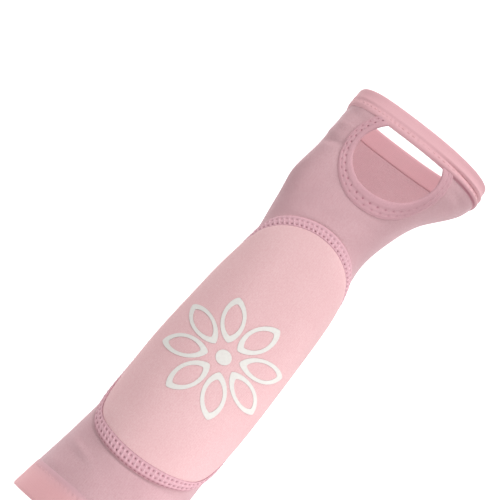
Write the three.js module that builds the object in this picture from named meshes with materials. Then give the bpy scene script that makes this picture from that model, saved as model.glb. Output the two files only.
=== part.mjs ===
// Padded arm sleeve for a right forearm, in its worn form, in millimetres.
// X runs along the arm from the elbow to the hand, Z comes out of the padded face and the thumb side is -Y.
// The origin is on the arm's axis at the wrist.
import * as THREE from "three";

// Ends and hem lines, as X where they cross the arm's axis
const ELBOW_END = -214;
const ELBOW_HEM_LINE = -195.8;
const ELBOW_SLANT = 0.09;
const HAND_HEM_LINE = 67.3;
const HAND_END = 79.4;

// Where around the hand hem the thumb gathers it, and how wide
const THUMB_PULL = { s: 40, width: 36 };

// Cloth and foam
const GAP = 0.3;
const PAD_REST = 0.6;
const KNIT = 1.2;
const ELBOW_HEM_RISE = 0.8;
const HAND_HEM_RISE = 1.0;
const HAND_HEM_RIDGE = 1.1;
const THUMB_HEM_RISE = 1.5;
const HEM_DEPTH = 1.6;
const HEM_EDGE_RISE = -0.1;
const HEM_SQUARENESS = 6;

// Thumb opening on the unrolled cloth, an oval that the hand hem cuts off: its centre, half sizes along and
// across the arm, and its lean
const THUMB_RIM = { x: 52.9, s: 9.7, along: 21.7, across: 24.7, lean: 0.12 };

// Width of the hem around the thumb opening at its sides and at its bottom
const THUMB_BAND = { side: 6.8, bottom: 10.4 };

// Pad with its seam, measured to the seam's outer edge on the unrolled cloth
const PAD = { elbowEnd: -166.4, handEnd: 0.5, handRound: 68, s: 4, halfWidth: 54 };
const PAD_ELBOW_END = { corner: 25, archRadius: 85, slant: 4 };
const SEAM_WIDTH = 7.4;
const SEAM_RISE = 2.4;
const SEAM_EDGE_RISE = 1.5;
const PAD_CROWN = 6.2;
const PAD_EDGE = 2.4;
const PAD_SQUARENESS = 6;
const PAD_SHOULDER = 4;

// Rosette of thin film on the pad
const ROSETTE = { x: -92, s: 3, petals: 8, near: 8, far: 33, halfWidth: 6.2, point: 1.4, line: 1.9, boss: 4 };
const FILM = 0.4;

// Sections of the sleeve's outer face: half widths to the little finger side and to the thumb side, heights
// to the padded side and to the back, and how square it is on the thumb side and on the little finger side,
// where 2 is an ellipse
const SECTIONS = [
  { x: -214, little: 45.2, thumb: 42.0, top: 40.6, bottom: 41.0, square: 2.1, heel: 2.1 },
  { x: -193, little: 42.2, thumb: 39.5, top: 38.0, bottom: 40.0, square: 2.1, heel: 2.1 },
  { x: -170, little: 39.0, thumb: 35.8, top: 34.9, bottom: 38.5, square: 2.1, heel: 2.1 },
  { x: -140, little: 36.0, thumb: 35.0, top: 32.3, bottom: 36.0, square: 2.1, heel: 2.1 },
  { x: -100, little: 35.5, thumb: 34.0, top: 30.0, bottom: 33.5, square: 2.1, heel: 2.1 },
  { x: -60, little: 32.5, thumb: 32.3, top: 27.0, bottom: 30.5, square: 2.15, heel: 2.15 },
  { x: -25, little: 31.0, thumb: 31.2, top: 24.0, bottom: 27.0, square: 2.2, heel: 2.3 },
  { x: 0, little: 34.3, thumb: 28.4, top: 22.5, bottom: 25.0, square: 2.25, heel: 2.7 },
  { x: 20, little: 36.6, thumb: 31.8, top: 24.2, bottom: 25.5, square: 2.3, heel: 3.8 },
  { x: 40, little: 34.3, thumb: 39.2, top: 27.2, bottom: 27.0, square: 2.4, heel: 4.2 },
  { x: 62, little: 34.5, thumb: 55.2, top: 29.4, bottom: 28.0, square: 2.4, heel: 3.6 },
  { x: 80, little: 35.0, thumb: 56.0, top: 29.8, bottom: 28.0, square: 2.4, heel: 3.2 },
  { x: 92, little: 35.0, thumb: 51.0, top: 29.8, bottom: 28.0, square: 2.4, heel: 3.2 },
];

// Soft folds of the worn cloth, each a line on the unrolled cloth with its half width and its height,
// which is below 0 for a groove
const FOLDS = [
  { x1: -177, s1: -46, x2: -182, s2: -12, width: 2.0, height: -0.3 },
  { x1: -173, s1: -44, x2: -178, s2: -10, width: 1.8, height: 1.2 },
  { x1: 8, s1: -48, x2: 44, s2: -12, width: 4.5, height: 1.0 },
  { x1: 0, s1: -32, x2: 30, s2: -8, width: 5.0, height: -0.9 },
  { x1: 40, s1: -40, x2: 44, s2: -17, width: 2.6, height: -1.2 },
  { x1: 50, s1: -42, x2: 56, s2: -20, width: 3.4, height: 0.8 },
  { x1: 6, s1: 30, x2: 34, s2: 46, width: 4.0, height: -0.6 },
];

// Net steps
const GIRTH_STEPS = 180;
const SLOPE_STEP = 0.5;
const COLUMNS = 40;
const ROW_SPANS = [
  { from: ELBOW_HEM_LINE, to: -165, steps: 4 },
  { from: -165, to: -4, steps: 14 },
  { from: -4, to: HAND_HEM_LINE, steps: 9 },
];
const WINDOW = { firstRow: 20, firstColumn: 14, lastColumn: 30 };
const WINDOW_RINGS = [0.5, 1];
const HEM_ROWS = [0, 0.12, 0.5, 0.88, 1];
const RIDGED_ROWS = [0, 0.14, 0.3, 0.5, 0.7, 0.86, 1];
const THUMB_ROWS = [0, 0.2, 0.6, 1];
const THUMB_COLUMNS = 40;
const SEAM_ROWS = [0, 0.3, 0.7, 1];
const SEAM_COLUMNS = 80;
const PAD_ROWS = [0.12, 0.24, 0.36, 0.48, 0.6, 0.72, 0.83, 0.92, 0.97, 1];
const PAD_COLUMNS = 60;
const PETAL_COLUMNS = 16;
const BOSS_COLUMNS = 12;

// Finishes
const KNIT_FINISH = { color: 0xc99aa4, roughness: 0.7, metalness: 0 };
const HEM_FINISH = { color: 0xd4a0a8, roughness: 0.75, metalness: 0 };
const PAD_FINISH = { color: 0xe6bcbf, roughness: 0.85, metalness: 0 };
const SEAM_FINISH = { color: 0xd6a6ac, roughness: 0.8, metalness: 0 };
const FILM_FINISH = { color: 0xe8e8e2, roughness: 0.6, metalness: 0 };

// Shape of the sleeve

const lerp = THREE.MathUtils.lerp;

function bell(distance, width) {
  return Math.exp(-((distance / width) ** 2));
}

// One section at x, each column by a smooth curve through the rows
function sectionAt(x) {
  const last = SECTIONS.length - 1;
  let row = 0;
  while (row < last - 1 && x > SECTIONS[row + 1].x) {
    row += 1;
  }
  const [before, a, b, after] = [-1, 0, 1, 2].map((k) => SECTIONS[THREE.MathUtils.clamp(row + k, 0, last)]);
  const span = b.x - a.x;
  const t = (x - a.x) / span;
  const blend = (column) => {
    const startSlope = (b[column] - before[column]) / (b.x - before.x);
    const endSlope = (after[column] - a[column]) / (after.x - a.x);
    return (1 + 2 * t) * (1 - t) ** 2 * a[column]
      + t * (1 - t) ** 2 * span * startSlope
      + t * t * (3 - 2 * t) * b[column]
      + t * t * (t - 1) * span * endSlope;
  };
  const columns = ["little", "thumb", "top", "bottom", "square", "heel"];
  return Object.fromEntries(columns.map((column) => [column, blend(column)]));
}

// Point of a section, with angle 0 on the padded face and growing towards the thumb side
function sectionPoint(section, angle) {
  const across = Math.sin(angle);
  const power = 2 / (across > 0 ? section.square : section.heel);
  const up = Math.cos(angle);
  const halfWidth = across > 0 ? section.thumb : section.little;
  const height = up > 0 ? section.top : section.bottom;
  return new THREE.Vector2(
    -halfWidth * Math.sign(across) * Math.abs(across) ** power,
    height * Math.sign(up) * Math.abs(up) ** power,
  );
}

// Lengths around the section at x from the middle of the padded face, by equal steps of angle
function girthAt(x) {
  const section = sectionAt(x);
  const lengths = [0];
  let from = sectionPoint(section, -Math.PI);
  for (let step = 1; step <= GIRTH_STEPS; step += 1) {
    const to = sectionPoint(section, -Math.PI + (2 * Math.PI * step) / GIRTH_STEPS);
    lengths.push(lengths[step - 1] + from.distanceTo(to));
    from = to;
  }
  const middle = lengths[GIRTH_STEPS / 2];
  return { section, lengths: lengths.map((length) => length - middle) };
}

// Length around from the middle of the padded face at a share, from -1 through the little finger side to 1
function lengthAround(x, share) {
  const { lengths } = girthAt(x);
  return share < 0 ? -share * lengths[0] : share * lengths[GIRTH_STEPS];
}

// Point of the smooth outer face at x, a length s around from the middle of the padded face
function skin(x, s) {
  const { section, lengths } = girthAt(x);
  const whole = lengths[GIRTH_STEPS] - lengths[0];
  const wrapped = lengths[0] + THREE.MathUtils.euclideanModulo(s - lengths[0], whole);
  let step = 0;
  while (step < GIRTH_STEPS - 1 && wrapped > lengths[step + 1]) {
    step += 1;
  }
  const part = (wrapped - lengths[step]) / (lengths[step + 1] - lengths[step]);
  const spot = sectionPoint(section, -Math.PI + (2 * Math.PI * (step + part)) / GIRTH_STEPS);
  return new THREE.Vector3(x, spot.x, spot.y);
}

function outward(x, s) {
  const along = skin(x + SLOPE_STEP, s).sub(skin(x - SLOPE_STEP, s));
  const around = skin(x, s + SLOPE_STEP).sub(skin(x, s - SLOPE_STEP));
  return around.cross(along).normalize();
}

// Height of all folds at a place: each is a rounded ridge that fades towards its ends
function foldHeight(x, s) {
  return FOLDS.reduce((height, fold) => {
    const line = new THREE.Vector2(fold.x2 - fold.x1, fold.s2 - fold.s1);
    const halfLength = line.length() / 2;
    line.normalize();
    const offset = new THREE.Vector2(x - (fold.x1 + fold.x2) / 2, s - (fold.s1 + fold.s2) / 2);
    const along = offset.dot(line) / halfLength;
    const fade = Math.max(0, 1 - along * along) ** 2;
    return height + fold.height * fade * bell(offset.cross(line), fold.width);
  }, 0);
}

function place(x, s, lift) {
  return skin(x, s).addScaledVector(outward(x, s), lift + foldHeight(x, s));
}

// Nets on the unrolled cloth. A net has points { x, s, t } and faces whose outer side faces out.

// Rows of points from place to place of t, which close on themselves or run from end to end
function bandNet(rows, columns, at, closed = true) {
  const perRow = closed ? columns : columns + 1;
  const points = rows.flatMap((t) =>
    Array.from({ length: perRow }, (_, c) => ({ ...at(t, c / columns), t })));
  const faces = [];
  for (let r = 0; r + 1 < rows.length; r += 1) {
    for (let c = 0; c < columns; c += 1) {
      const next = (c + 1) % perRow;
      const low = r * perRow;
      const high = low + perRow;
      faces.push([low + c, low + next, high + next, high + c]);
    }
  }
  return { points, faces };
}

// A band closed over its middle by a fan
function discNet(rows, columns, centre, at) {
  const net = bandNet(rows, columns, at);
  const middle = net.points.push({ ...centre, t: 0 }) - 1;
  for (let c = 0; c < columns; c += 1) {
    net.faces.push([middle, (c + 1) % columns, c]);
  }
  return net;
}

// Solid between two heights over a net, walled along the net's open edges
function slab(net, outerLift, innerLift) {
  const count = net.points.length;
  const position = [outerLift, innerLift].flatMap((lift) =>
    net.points.flatMap((point) => place(point.x, point.s, lift(point)).toArray()));
  const index = [];
  const openEdges = new Map();
  for (const face of net.faces) {
    for (let k = 1; k + 1 < face.length; k += 1) {
      index.push(face[0], face[k], face[k + 1]);
      index.push(count + face[0], count + face[k + 1], count + face[k]);
    }
    face.forEach((a, k) => {
      const b = face[(k + 1) % face.length];
      if (!openEdges.delete(`${b} ${a}`)) {
        openEdges.set(`${a} ${b}`, [a, b]);
      }
    });
  }
  for (const [a, b] of openEdges.values()) {
    index.push(b, a, count + a, b, count + a, count + b);
  }
  const geometry = new THREE.BufferGeometry();
  geometry.setAttribute("position", new THREE.Float32BufferAttribute(position, 3));
  geometry.setIndex(index);
  geometry.computeVertexNormals();
  return geometry;
}

function piece(name, finish, geometry) {
  const mesh = new THREE.Mesh(geometry, new THREE.MeshStandardMaterial(finish));
  mesh.name = name;
  return mesh;
}

// Outlines on the unrolled cloth

const rimLean = THUMB_RIM.lean * THUMB_RIM.across;
const rimTurn = Math.atan2(rimLean, THUMB_RIM.along);
const rimGap = Math.acos((HAND_HEM_LINE - THUMB_RIM.x) / Math.hypot(rimLean, THUMB_RIM.along));

// Angles at which the thumb opening's rim starts from the hand hem on the thumb side and comes back to it
const RIM_START = rimTurn + rimGap;
const RIM_END = rimTurn + 2 * Math.PI - rimGap;

function rimPoint(angle) {
  const across = THUMB_RIM.across * Math.sin(angle);
  const along = THUMB_RIM.along * Math.cos(angle);
  return { x: THUMB_RIM.x + along + THUMB_RIM.lean * across, s: THUMB_RIM.s + across };
}

function rimAngle(point) {
  const across = point.s - THUMB_RIM.s;
  const along = point.x - THUMB_RIM.x - THUMB_RIM.lean * across;
  const angle = Math.atan2(across / THUMB_RIM.across, along / THUMB_RIM.along);
  return THREE.MathUtils.euclideanModulo(angle, 2 * Math.PI);
}

// Outer edge of the thumb hem, straight out from the rim but never past the hand hem line
function thumbHemEdge(angle, grow = 0) {
  const rim = rimPoint(angle);
  const dx = rimLean * Math.cos(angle) - THUMB_RIM.along * Math.sin(angle);
  const ds = THUMB_RIM.across * Math.cos(angle);
  const bottom = Math.max(0, -Math.cos(angle)) ** 2;
  const reach = (lerp(THUMB_BAND.side, THUMB_BAND.bottom, bottom) + grow) / Math.hypot(dx, ds);
  return { x: Math.min(HAND_HEM_LINE, rim.x + reach * ds), s: rim.s - reach * dx };
}

function mix(a, b, t) {
  return { x: lerp(a.x, b.x, t), s: lerp(a.s, b.s, t) };
}

function elbowLine(x, share) {
  const s = lengthAround(x, share);
  return x + ELBOW_SLANT * skin(x, s).z;
}

// Place on a tube between two end lines, for a turn from back to back
function tubePlace(startLine, endLine, t, turn) {
  const share = 2 * turn - 1;
  const x = lerp(startLine(share), endLine(share), t);
  return { x, s: lengthAround(x, share) };
}

const padMiddle = PAD.handEnd - PAD.handRound;
const padElbowLength = padMiddle - PAD.elbowEnd;

// How much longer the pad's half towards the elbow is at a distance across from its middle line,
// as a share of its length there, because its end is bowed and slanted
function padStretch(across) {
  const bow = (across * across) / (2 * PAD_ELBOW_END.archRadius);
  return 1 - ((PAD_ELBOW_END.slant * across) / PAD.halfWidth + bow) / padElbowLength;
}

// Outline of the pad and seam moved in by the inset: half an oval towards the hand, and an oblong
// with rounded corners and a bowed, slanted end towards the elbow
function padOutline(inset, columns) {
  const width = PAD.halfWidth - inset;
  const corner = PAD_ELBOW_END.corner - inset;
  const elbow = inset - padElbowLength + corner;
  const outline = new THREE.Path();
  outline.moveTo(0, -width);
  outline.absellipse(0, 0, PAD.handRound - inset, width, -Math.PI / 2, Math.PI / 2);
  outline.absarc(elbow, width - corner, corner, Math.PI / 2, Math.PI);
  outline.absarc(elbow, corner - width, corner, Math.PI, 1.5 * Math.PI);
  outline.closePath();
  return outline.getSpacedPoints(columns).slice(0, columns).map((point) => {
    const stretch = point.x < 0 ? padStretch(point.y) : 1;
    return { x: padMiddle + point.x * stretch, s: PAD.s + point.y };
  });
}

// Height of the pad's top over the sleeve, falling in a round shoulder to its edge
function padTop(x, s) {
  const towardsHand = x > padMiddle;
  const length = towardsHand ? PAD.handRound - SEAM_WIDTH : padElbowLength - SEAM_WIDTH;
  const stretch = towardsHand ? 1 : padStretch(s - PAD.s);
  const along = Math.abs(x - padMiddle) / stretch / length;
  const across = Math.abs(s - PAD.s) / (PAD.halfWidth - SEAM_WIDTH);
  const power = towardsHand ? 2 : PAD_SQUARENESS;
  const edge = Math.min(1, (across ** power + along ** power) ** (1 / power));
  return PAD_REST + lerp(PAD_EDGE, PAD_CROWN, Math.sqrt(1 - edge ** PAD_SHOULDER));
}

// Pieces

const elbowHemLine = (share) => elbowLine(ELBOW_HEM_LINE, share);
const elbowEnd = (share) => elbowLine(ELBOW_END, share);
const handHemLine = () => HAND_HEM_LINE;
const handEnd = () => HAND_END;

// Rows of the knitted tube, as shares of the way from the elbow hem line to the hand hem line
function sleeveRows() {
  const rows = [ELBOW_HEM_LINE];
  for (const span of ROW_SPANS) {
    for (let step = 1; step <= span.steps; step += 1) {
      rows.push(lerp(span.from, span.to, step / span.steps));
    }
  }
  return rows.map((x) => (x - ELBOW_HEM_LINE) / (HAND_HEM_LINE - ELBOW_HEM_LINE));
}

// Angles of the thumb hem's outer edge for points that run around it from the little finger side, so that the
// first and last meet the hand hem line
function holeAngles(corners) {
  const { mapLinear } = THREE.MathUtils;
  const angles = corners.map(rimAngle);
  const first = angles[0];
  const last = angles[angles.length - 1];
  return angles.map((angle) => (angle > Math.PI
    ? mapLinear(angle, Math.PI, first, Math.PI, RIM_END)
    : mapLinear(angle, last, Math.PI, RIM_START, Math.PI)));
}

// The knitted tube: its grid is opened around the thumb hem, up to the hand hem line, and filled up to the
// thumb hem with strips
function sleeveNet() {
  const rows = sleeveRows();
  const net = bandNet(rows, COLUMNS, (t, turn) => tubePlace(elbowHemLine, handHemLine, t, turn));
  const { firstRow, firstColumn, lastColumn } = WINDOW;
  const lastRow = rows.length - 1;
  const inWindow = (face) => {
    const row = Math.floor(face[0] / COLUMNS);
    const column = face[0] % COLUMNS;
    return row >= firstRow && column >= firstColumn && column < lastColumn;
  };
  net.faces = net.faces.filter((face) => !inWindow(face));
  const frame = [];
  for (let row = lastRow; row > firstRow; row -= 1) {
    frame.push(row * COLUMNS + firstColumn);
  }
  for (let column = firstColumn; column < lastColumn; column += 1) {
    frame.push(firstRow * COLUMNS + column);
  }
  for (let row = firstRow; row <= lastRow; row += 1) {
    frame.push(row * COLUMNS + lastColumn);
  }
  const corners = frame.map((index) => net.points[index]);
  const hole = holeAngles(corners).map((angle) => thumbHemEdge(angle, 2 * GAP));
  const strips = [frame];
  for (const t of WINDOW_RINGS) {
    strips.push(corners.map((corner, k) => net.points.push({ ...mix(corner, hole[k], t), t }) - 1));
  }
  for (let r = 0; r + 1 < strips.length; r += 1) {
    for (let k = 0; k + 1 < frame.length; k += 1) {
      net.faces.push([strips[r][k], strips[r][k + 1], strips[r + 1][k + 1], strips[r + 1][k]]);
    }
  }
  const used = [...new Set(net.faces.flat())];
  const renumber = new Map(used.map((old, index) => [old, index]));
  return {
    points: used.map((old) => net.points[old]),
    faces: net.faces.map((face) => face.map((old) => renumber.get(old))),
  };
}

function makeSleeve() {
  return piece("sleeve", KNIT_FINISH, slab(sleeveNet(), () => 0, () => -KNIT));
}

// Height of a turned hem across its width, rounded down at both edges
function hemRise(t, rise) {
  return lerp(HEM_EDGE_RISE, rise, Math.sqrt(1 - (2 * t - 1) ** HEM_SQUARENESS));
}

// Depth of a turned hem's inner side across its width
function hemDepth(point) {
  return -KNIT - hemRise(point.t, HEM_DEPTH - KNIT);
}

function makeElbowHem() {
  const net = bandNet(HEM_ROWS, COLUMNS, (t, turn) =>
    tubePlace(elbowEnd, (share) => elbowHemLine(share) - GAP, t, turn));
  return piece("elbow_hem", HEM_FINISH, slab(net, (point) => hemRise(point.t, ELBOW_HEM_RISE), hemDepth));
}

// The hand hem has two ridges where the thumb gathers it
function makeHandHem() {
  const net = bandNet(RIDGED_ROWS, COLUMNS, (t, turn) =>
    tubePlace((share) => handHemLine(share) + GAP, handEnd, t, turn));
  const rise = (point) => {
    const ridge = Math.sin(2 * Math.PI * point.t) ** 2 * bell(point.s - THUMB_PULL.s, THUMB_PULL.width);
    return hemRise(point.t, HAND_HEM_RISE) + HAND_HEM_RIDGE * ridge;
  };
  return piece("hand_hem", HEM_FINISH, slab(net, rise, hemDepth));
}

function makeThumbHem() {
  const net = bandNet(THUMB_ROWS, THUMB_COLUMNS, (t, turn) => {
    const angle = lerp(RIM_START, RIM_END, turn);
    return mix(rimPoint(angle), thumbHemEdge(angle), t);
  }, false);
  return piece("thumb_hem", HEM_FINISH, slab(net, (point) => hemRise(point.t, THUMB_HEM_RISE), hemDepth));
}

function makePad() {
  const outline = padOutline(SEAM_WIDTH + GAP, PAD_COLUMNS);
  const centre = { x: padMiddle, s: PAD.s };
  const net = discNet(PAD_ROWS, PAD_COLUMNS, centre, (t, turn) =>
    mix(centre, outline[Math.round(turn * PAD_COLUMNS)], t));
  return piece("pad", PAD_FINISH, slab(net, (point) => padTop(point.x, point.s), () => PAD_REST));
}

function makePadSeam() {
  const inner = padOutline(SEAM_WIDTH, SEAM_COLUMNS);
  const outer = padOutline(0, SEAM_COLUMNS);
  const net = bandNet(SEAM_ROWS, SEAM_COLUMNS, (t, turn) => {
    const column = Math.round(turn * SEAM_COLUMNS);
    return mix(inner[column], outer[column], t);
  });
  const rise = (point) => PAD_REST + lerp(SEAM_EDGE_RISE, SEAM_RISE, Math.sqrt(1 - (2 * point.t - 1) ** 2));
  return piece("pad_seam", SEAM_FINISH, slab(net, rise, () => PAD_REST));
}

function filmSlab(net) {
  const under = (point) => padTop(point.x, point.s) + GAP;
  return slab(net, (point) => under(point) + FILM, under);
}

// One outlined petal of the rosette, a pointed oval that starts clear of the middle
function makePetal(number) {
  const heading = (2 * Math.PI * (number - 0.5)) / ROSETTE.petals;
  const middle = (ROSETTE.near + ROSETTE.far) / 2;
  const halfLength = (ROSETTE.far - ROSETTE.near) / 2;
  const net = bandNet([0, 1], PETAL_COLUMNS, (t, turn) => {
    const angle = 2 * Math.PI * turn;
    const inset = (1 - t) * ROSETTE.line;
    const out = middle + (halfLength - 2 * inset) * Math.cos(angle);
    const bulge = Math.abs(Math.sin(angle)) ** ROSETTE.point;
    const side = (ROSETTE.halfWidth - inset) * Math.sign(Math.sin(angle)) * bulge;
    return {
      x: ROSETTE.x + out * Math.cos(heading) - side * Math.sin(heading),
      s: ROSETTE.s + out * Math.sin(heading) + side * Math.cos(heading),
    };
  });
  return piece(`print_petal_${number}`, FILM_FINISH, filmSlab(net));
}

function makePrintBoss() {
  const centre = { x: ROSETTE.x, s: ROSETTE.s };
  const net = discNet([1], BOSS_COLUMNS, centre, (t, turn) => ({
    x: ROSETTE.x + ROSETTE.boss * Math.cos(2 * Math.PI * turn),
    s: ROSETTE.s + ROSETTE.boss * Math.sin(2 * Math.PI * turn),
  }));
  return piece("print_boss", FILM_FINISH, filmSlab(net));
}

const armSleeve = new THREE.Group();
armSleeve.name = "padded_arm_sleeve";
armSleeve.add(makeSleeve(), makeElbowHem(), makeHandHem(), makeThumbHem());
armSleeve.add(makePad(), makePadSeam(), makePrintBoss());
for (let number = 1; number <= ROSETTE.petals; number += 1) {
  armSleeve.add(makePetal(number));
}

export default armSleeve;
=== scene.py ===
"""Looks of a padded knit arm sleeve in its worn form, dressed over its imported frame.

Sizes are in millimetres and turn to metres where a mesh is placed. X runs along the sleeve from its elbow
end to its hand end, Z comes out of the padded face and the thumb side is -Y. A place on the cloth is (x, s):
x along the sleeve and s around it from the middle of the padded face, growing towards the thumb side.
"""
import logging
import math
from collections.abc import Iterator
from contextlib import contextmanager
from dataclasses import astuple, dataclass, field
from enum import Enum
from typing import ClassVar

import bpy
import numpy as np
from mathutils import Matrix, Vector


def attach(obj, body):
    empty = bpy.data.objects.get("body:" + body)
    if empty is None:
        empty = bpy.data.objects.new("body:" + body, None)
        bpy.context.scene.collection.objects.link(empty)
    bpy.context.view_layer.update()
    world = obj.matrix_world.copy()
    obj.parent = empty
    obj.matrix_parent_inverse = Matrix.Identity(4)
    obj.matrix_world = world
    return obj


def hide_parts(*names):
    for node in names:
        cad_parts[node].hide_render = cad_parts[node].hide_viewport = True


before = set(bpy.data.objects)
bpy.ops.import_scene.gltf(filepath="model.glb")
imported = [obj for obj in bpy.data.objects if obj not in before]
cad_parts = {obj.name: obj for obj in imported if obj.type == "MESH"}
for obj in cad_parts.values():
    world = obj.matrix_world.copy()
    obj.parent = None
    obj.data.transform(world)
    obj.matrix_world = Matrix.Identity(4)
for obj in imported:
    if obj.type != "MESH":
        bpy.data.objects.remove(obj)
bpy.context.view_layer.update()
LOG = logging.getLogger("arm_sleeve")
MM = 0.001
TURN = 2 * math.pi
TINY = 1e-9
SMOOTH_BELOW = math.radians(55)
SEW_BELOW = 0.01


# The worn form

@dataclass(frozen=True)
class Section:
    """One section of the sleeve's outer face: half widths, heights and the squareness of its two sides.

    A squareness of 2 is an ellipse; square is the thumb side's and heel the little finger side's.
    """

    x: float
    little: float
    thumb: float
    top: float
    bottom: float
    square: float
    heel: float


@dataclass(frozen=True)
class Fold:
    """A soft fold along a line on the cloth, with its half width and its height, below 0 for a groove."""

    x1: float
    s1: float
    x2: float
    s2: float
    width: float
    height: float


SECTIONS = (
    Section(-214, 45.2, 42.0, 40.6, 41.0, 2.1, 2.1),
    Section(-193, 42.2, 39.5, 38.0, 40.0, 2.1, 2.1),
    Section(-170, 39.0, 35.8, 34.9, 38.5, 2.1, 2.1),
    Section(-140, 36.0, 35.0, 32.3, 36.0, 2.1, 2.1),
    Section(-100, 35.5, 34.0, 30.0, 33.5, 2.1, 2.1),
    Section(-60, 32.5, 32.3, 27.0, 30.5, 2.15, 2.15),
    Section(-25, 31.0, 31.2, 24.0, 27.0, 2.2, 2.3),
    Section(0, 34.3, 28.4, 22.5, 25.0, 2.25, 2.7),
    Section(20, 36.6, 31.8, 24.2, 25.5, 2.3, 3.8),
    Section(40, 34.3, 39.2, 27.2, 27.0, 2.4, 4.2),
    Section(62, 34.5, 55.2, 29.4, 28.0, 2.4, 3.6),
    Section(80, 35.0, 56.0, 29.8, 28.0, 2.4, 3.2),
    Section(92, 35.0, 51.0, 29.8, 28.0, 2.4, 3.2),
)

MAIN_FOLDS = (
    Fold(-177, -46, -182, -12, 2.0, -0.3),
    Fold(-173, -44, -178, -10, 1.8, 1.2),
    Fold(8, -48, 44, -12, 4.5, 1.0),
    Fold(0, -32, 30, -8, 5.0, -0.9),
    Fold(40, -40, 44, -17, 2.6, -1.2),
    Fold(50, -42, 56, -20, 3.4, 0.8),
    Fold(6, 30, 34, 46, 4.0, -0.6),
)

FINE_FOLDS = (
    Fold(-189, -50, -190, -20, 3.0, 0.5),
    Fold(-178, -12, -186, 16, 3.0, -0.5),
    Fold(-172, 4, -180, 34, 3.2, 0.5),
    Fold(-176, 30, -190, 58, 3.0, 0.4),
    Fold(61, 40, 60, 66, 2.2, -0.7),
    Fold(56, 42, 52, 70, 2.6, 0.6),
    Fold(46, -22, 50, -52, 2.4, 0.5),
    Fold(60, -16, 66, -48, 2.6, -0.5),
    Fold(12, 4, 18, 34, 3.0, -0.4),
    Fold(6, -20, 16, 12, 3.4, 0.4),
)


def bell(distance: np.ndarray, width: float) -> np.ndarray:
    """A smooth bump, 1 at no distance."""
    return np.exp(-((distance / width) ** 2))


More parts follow.
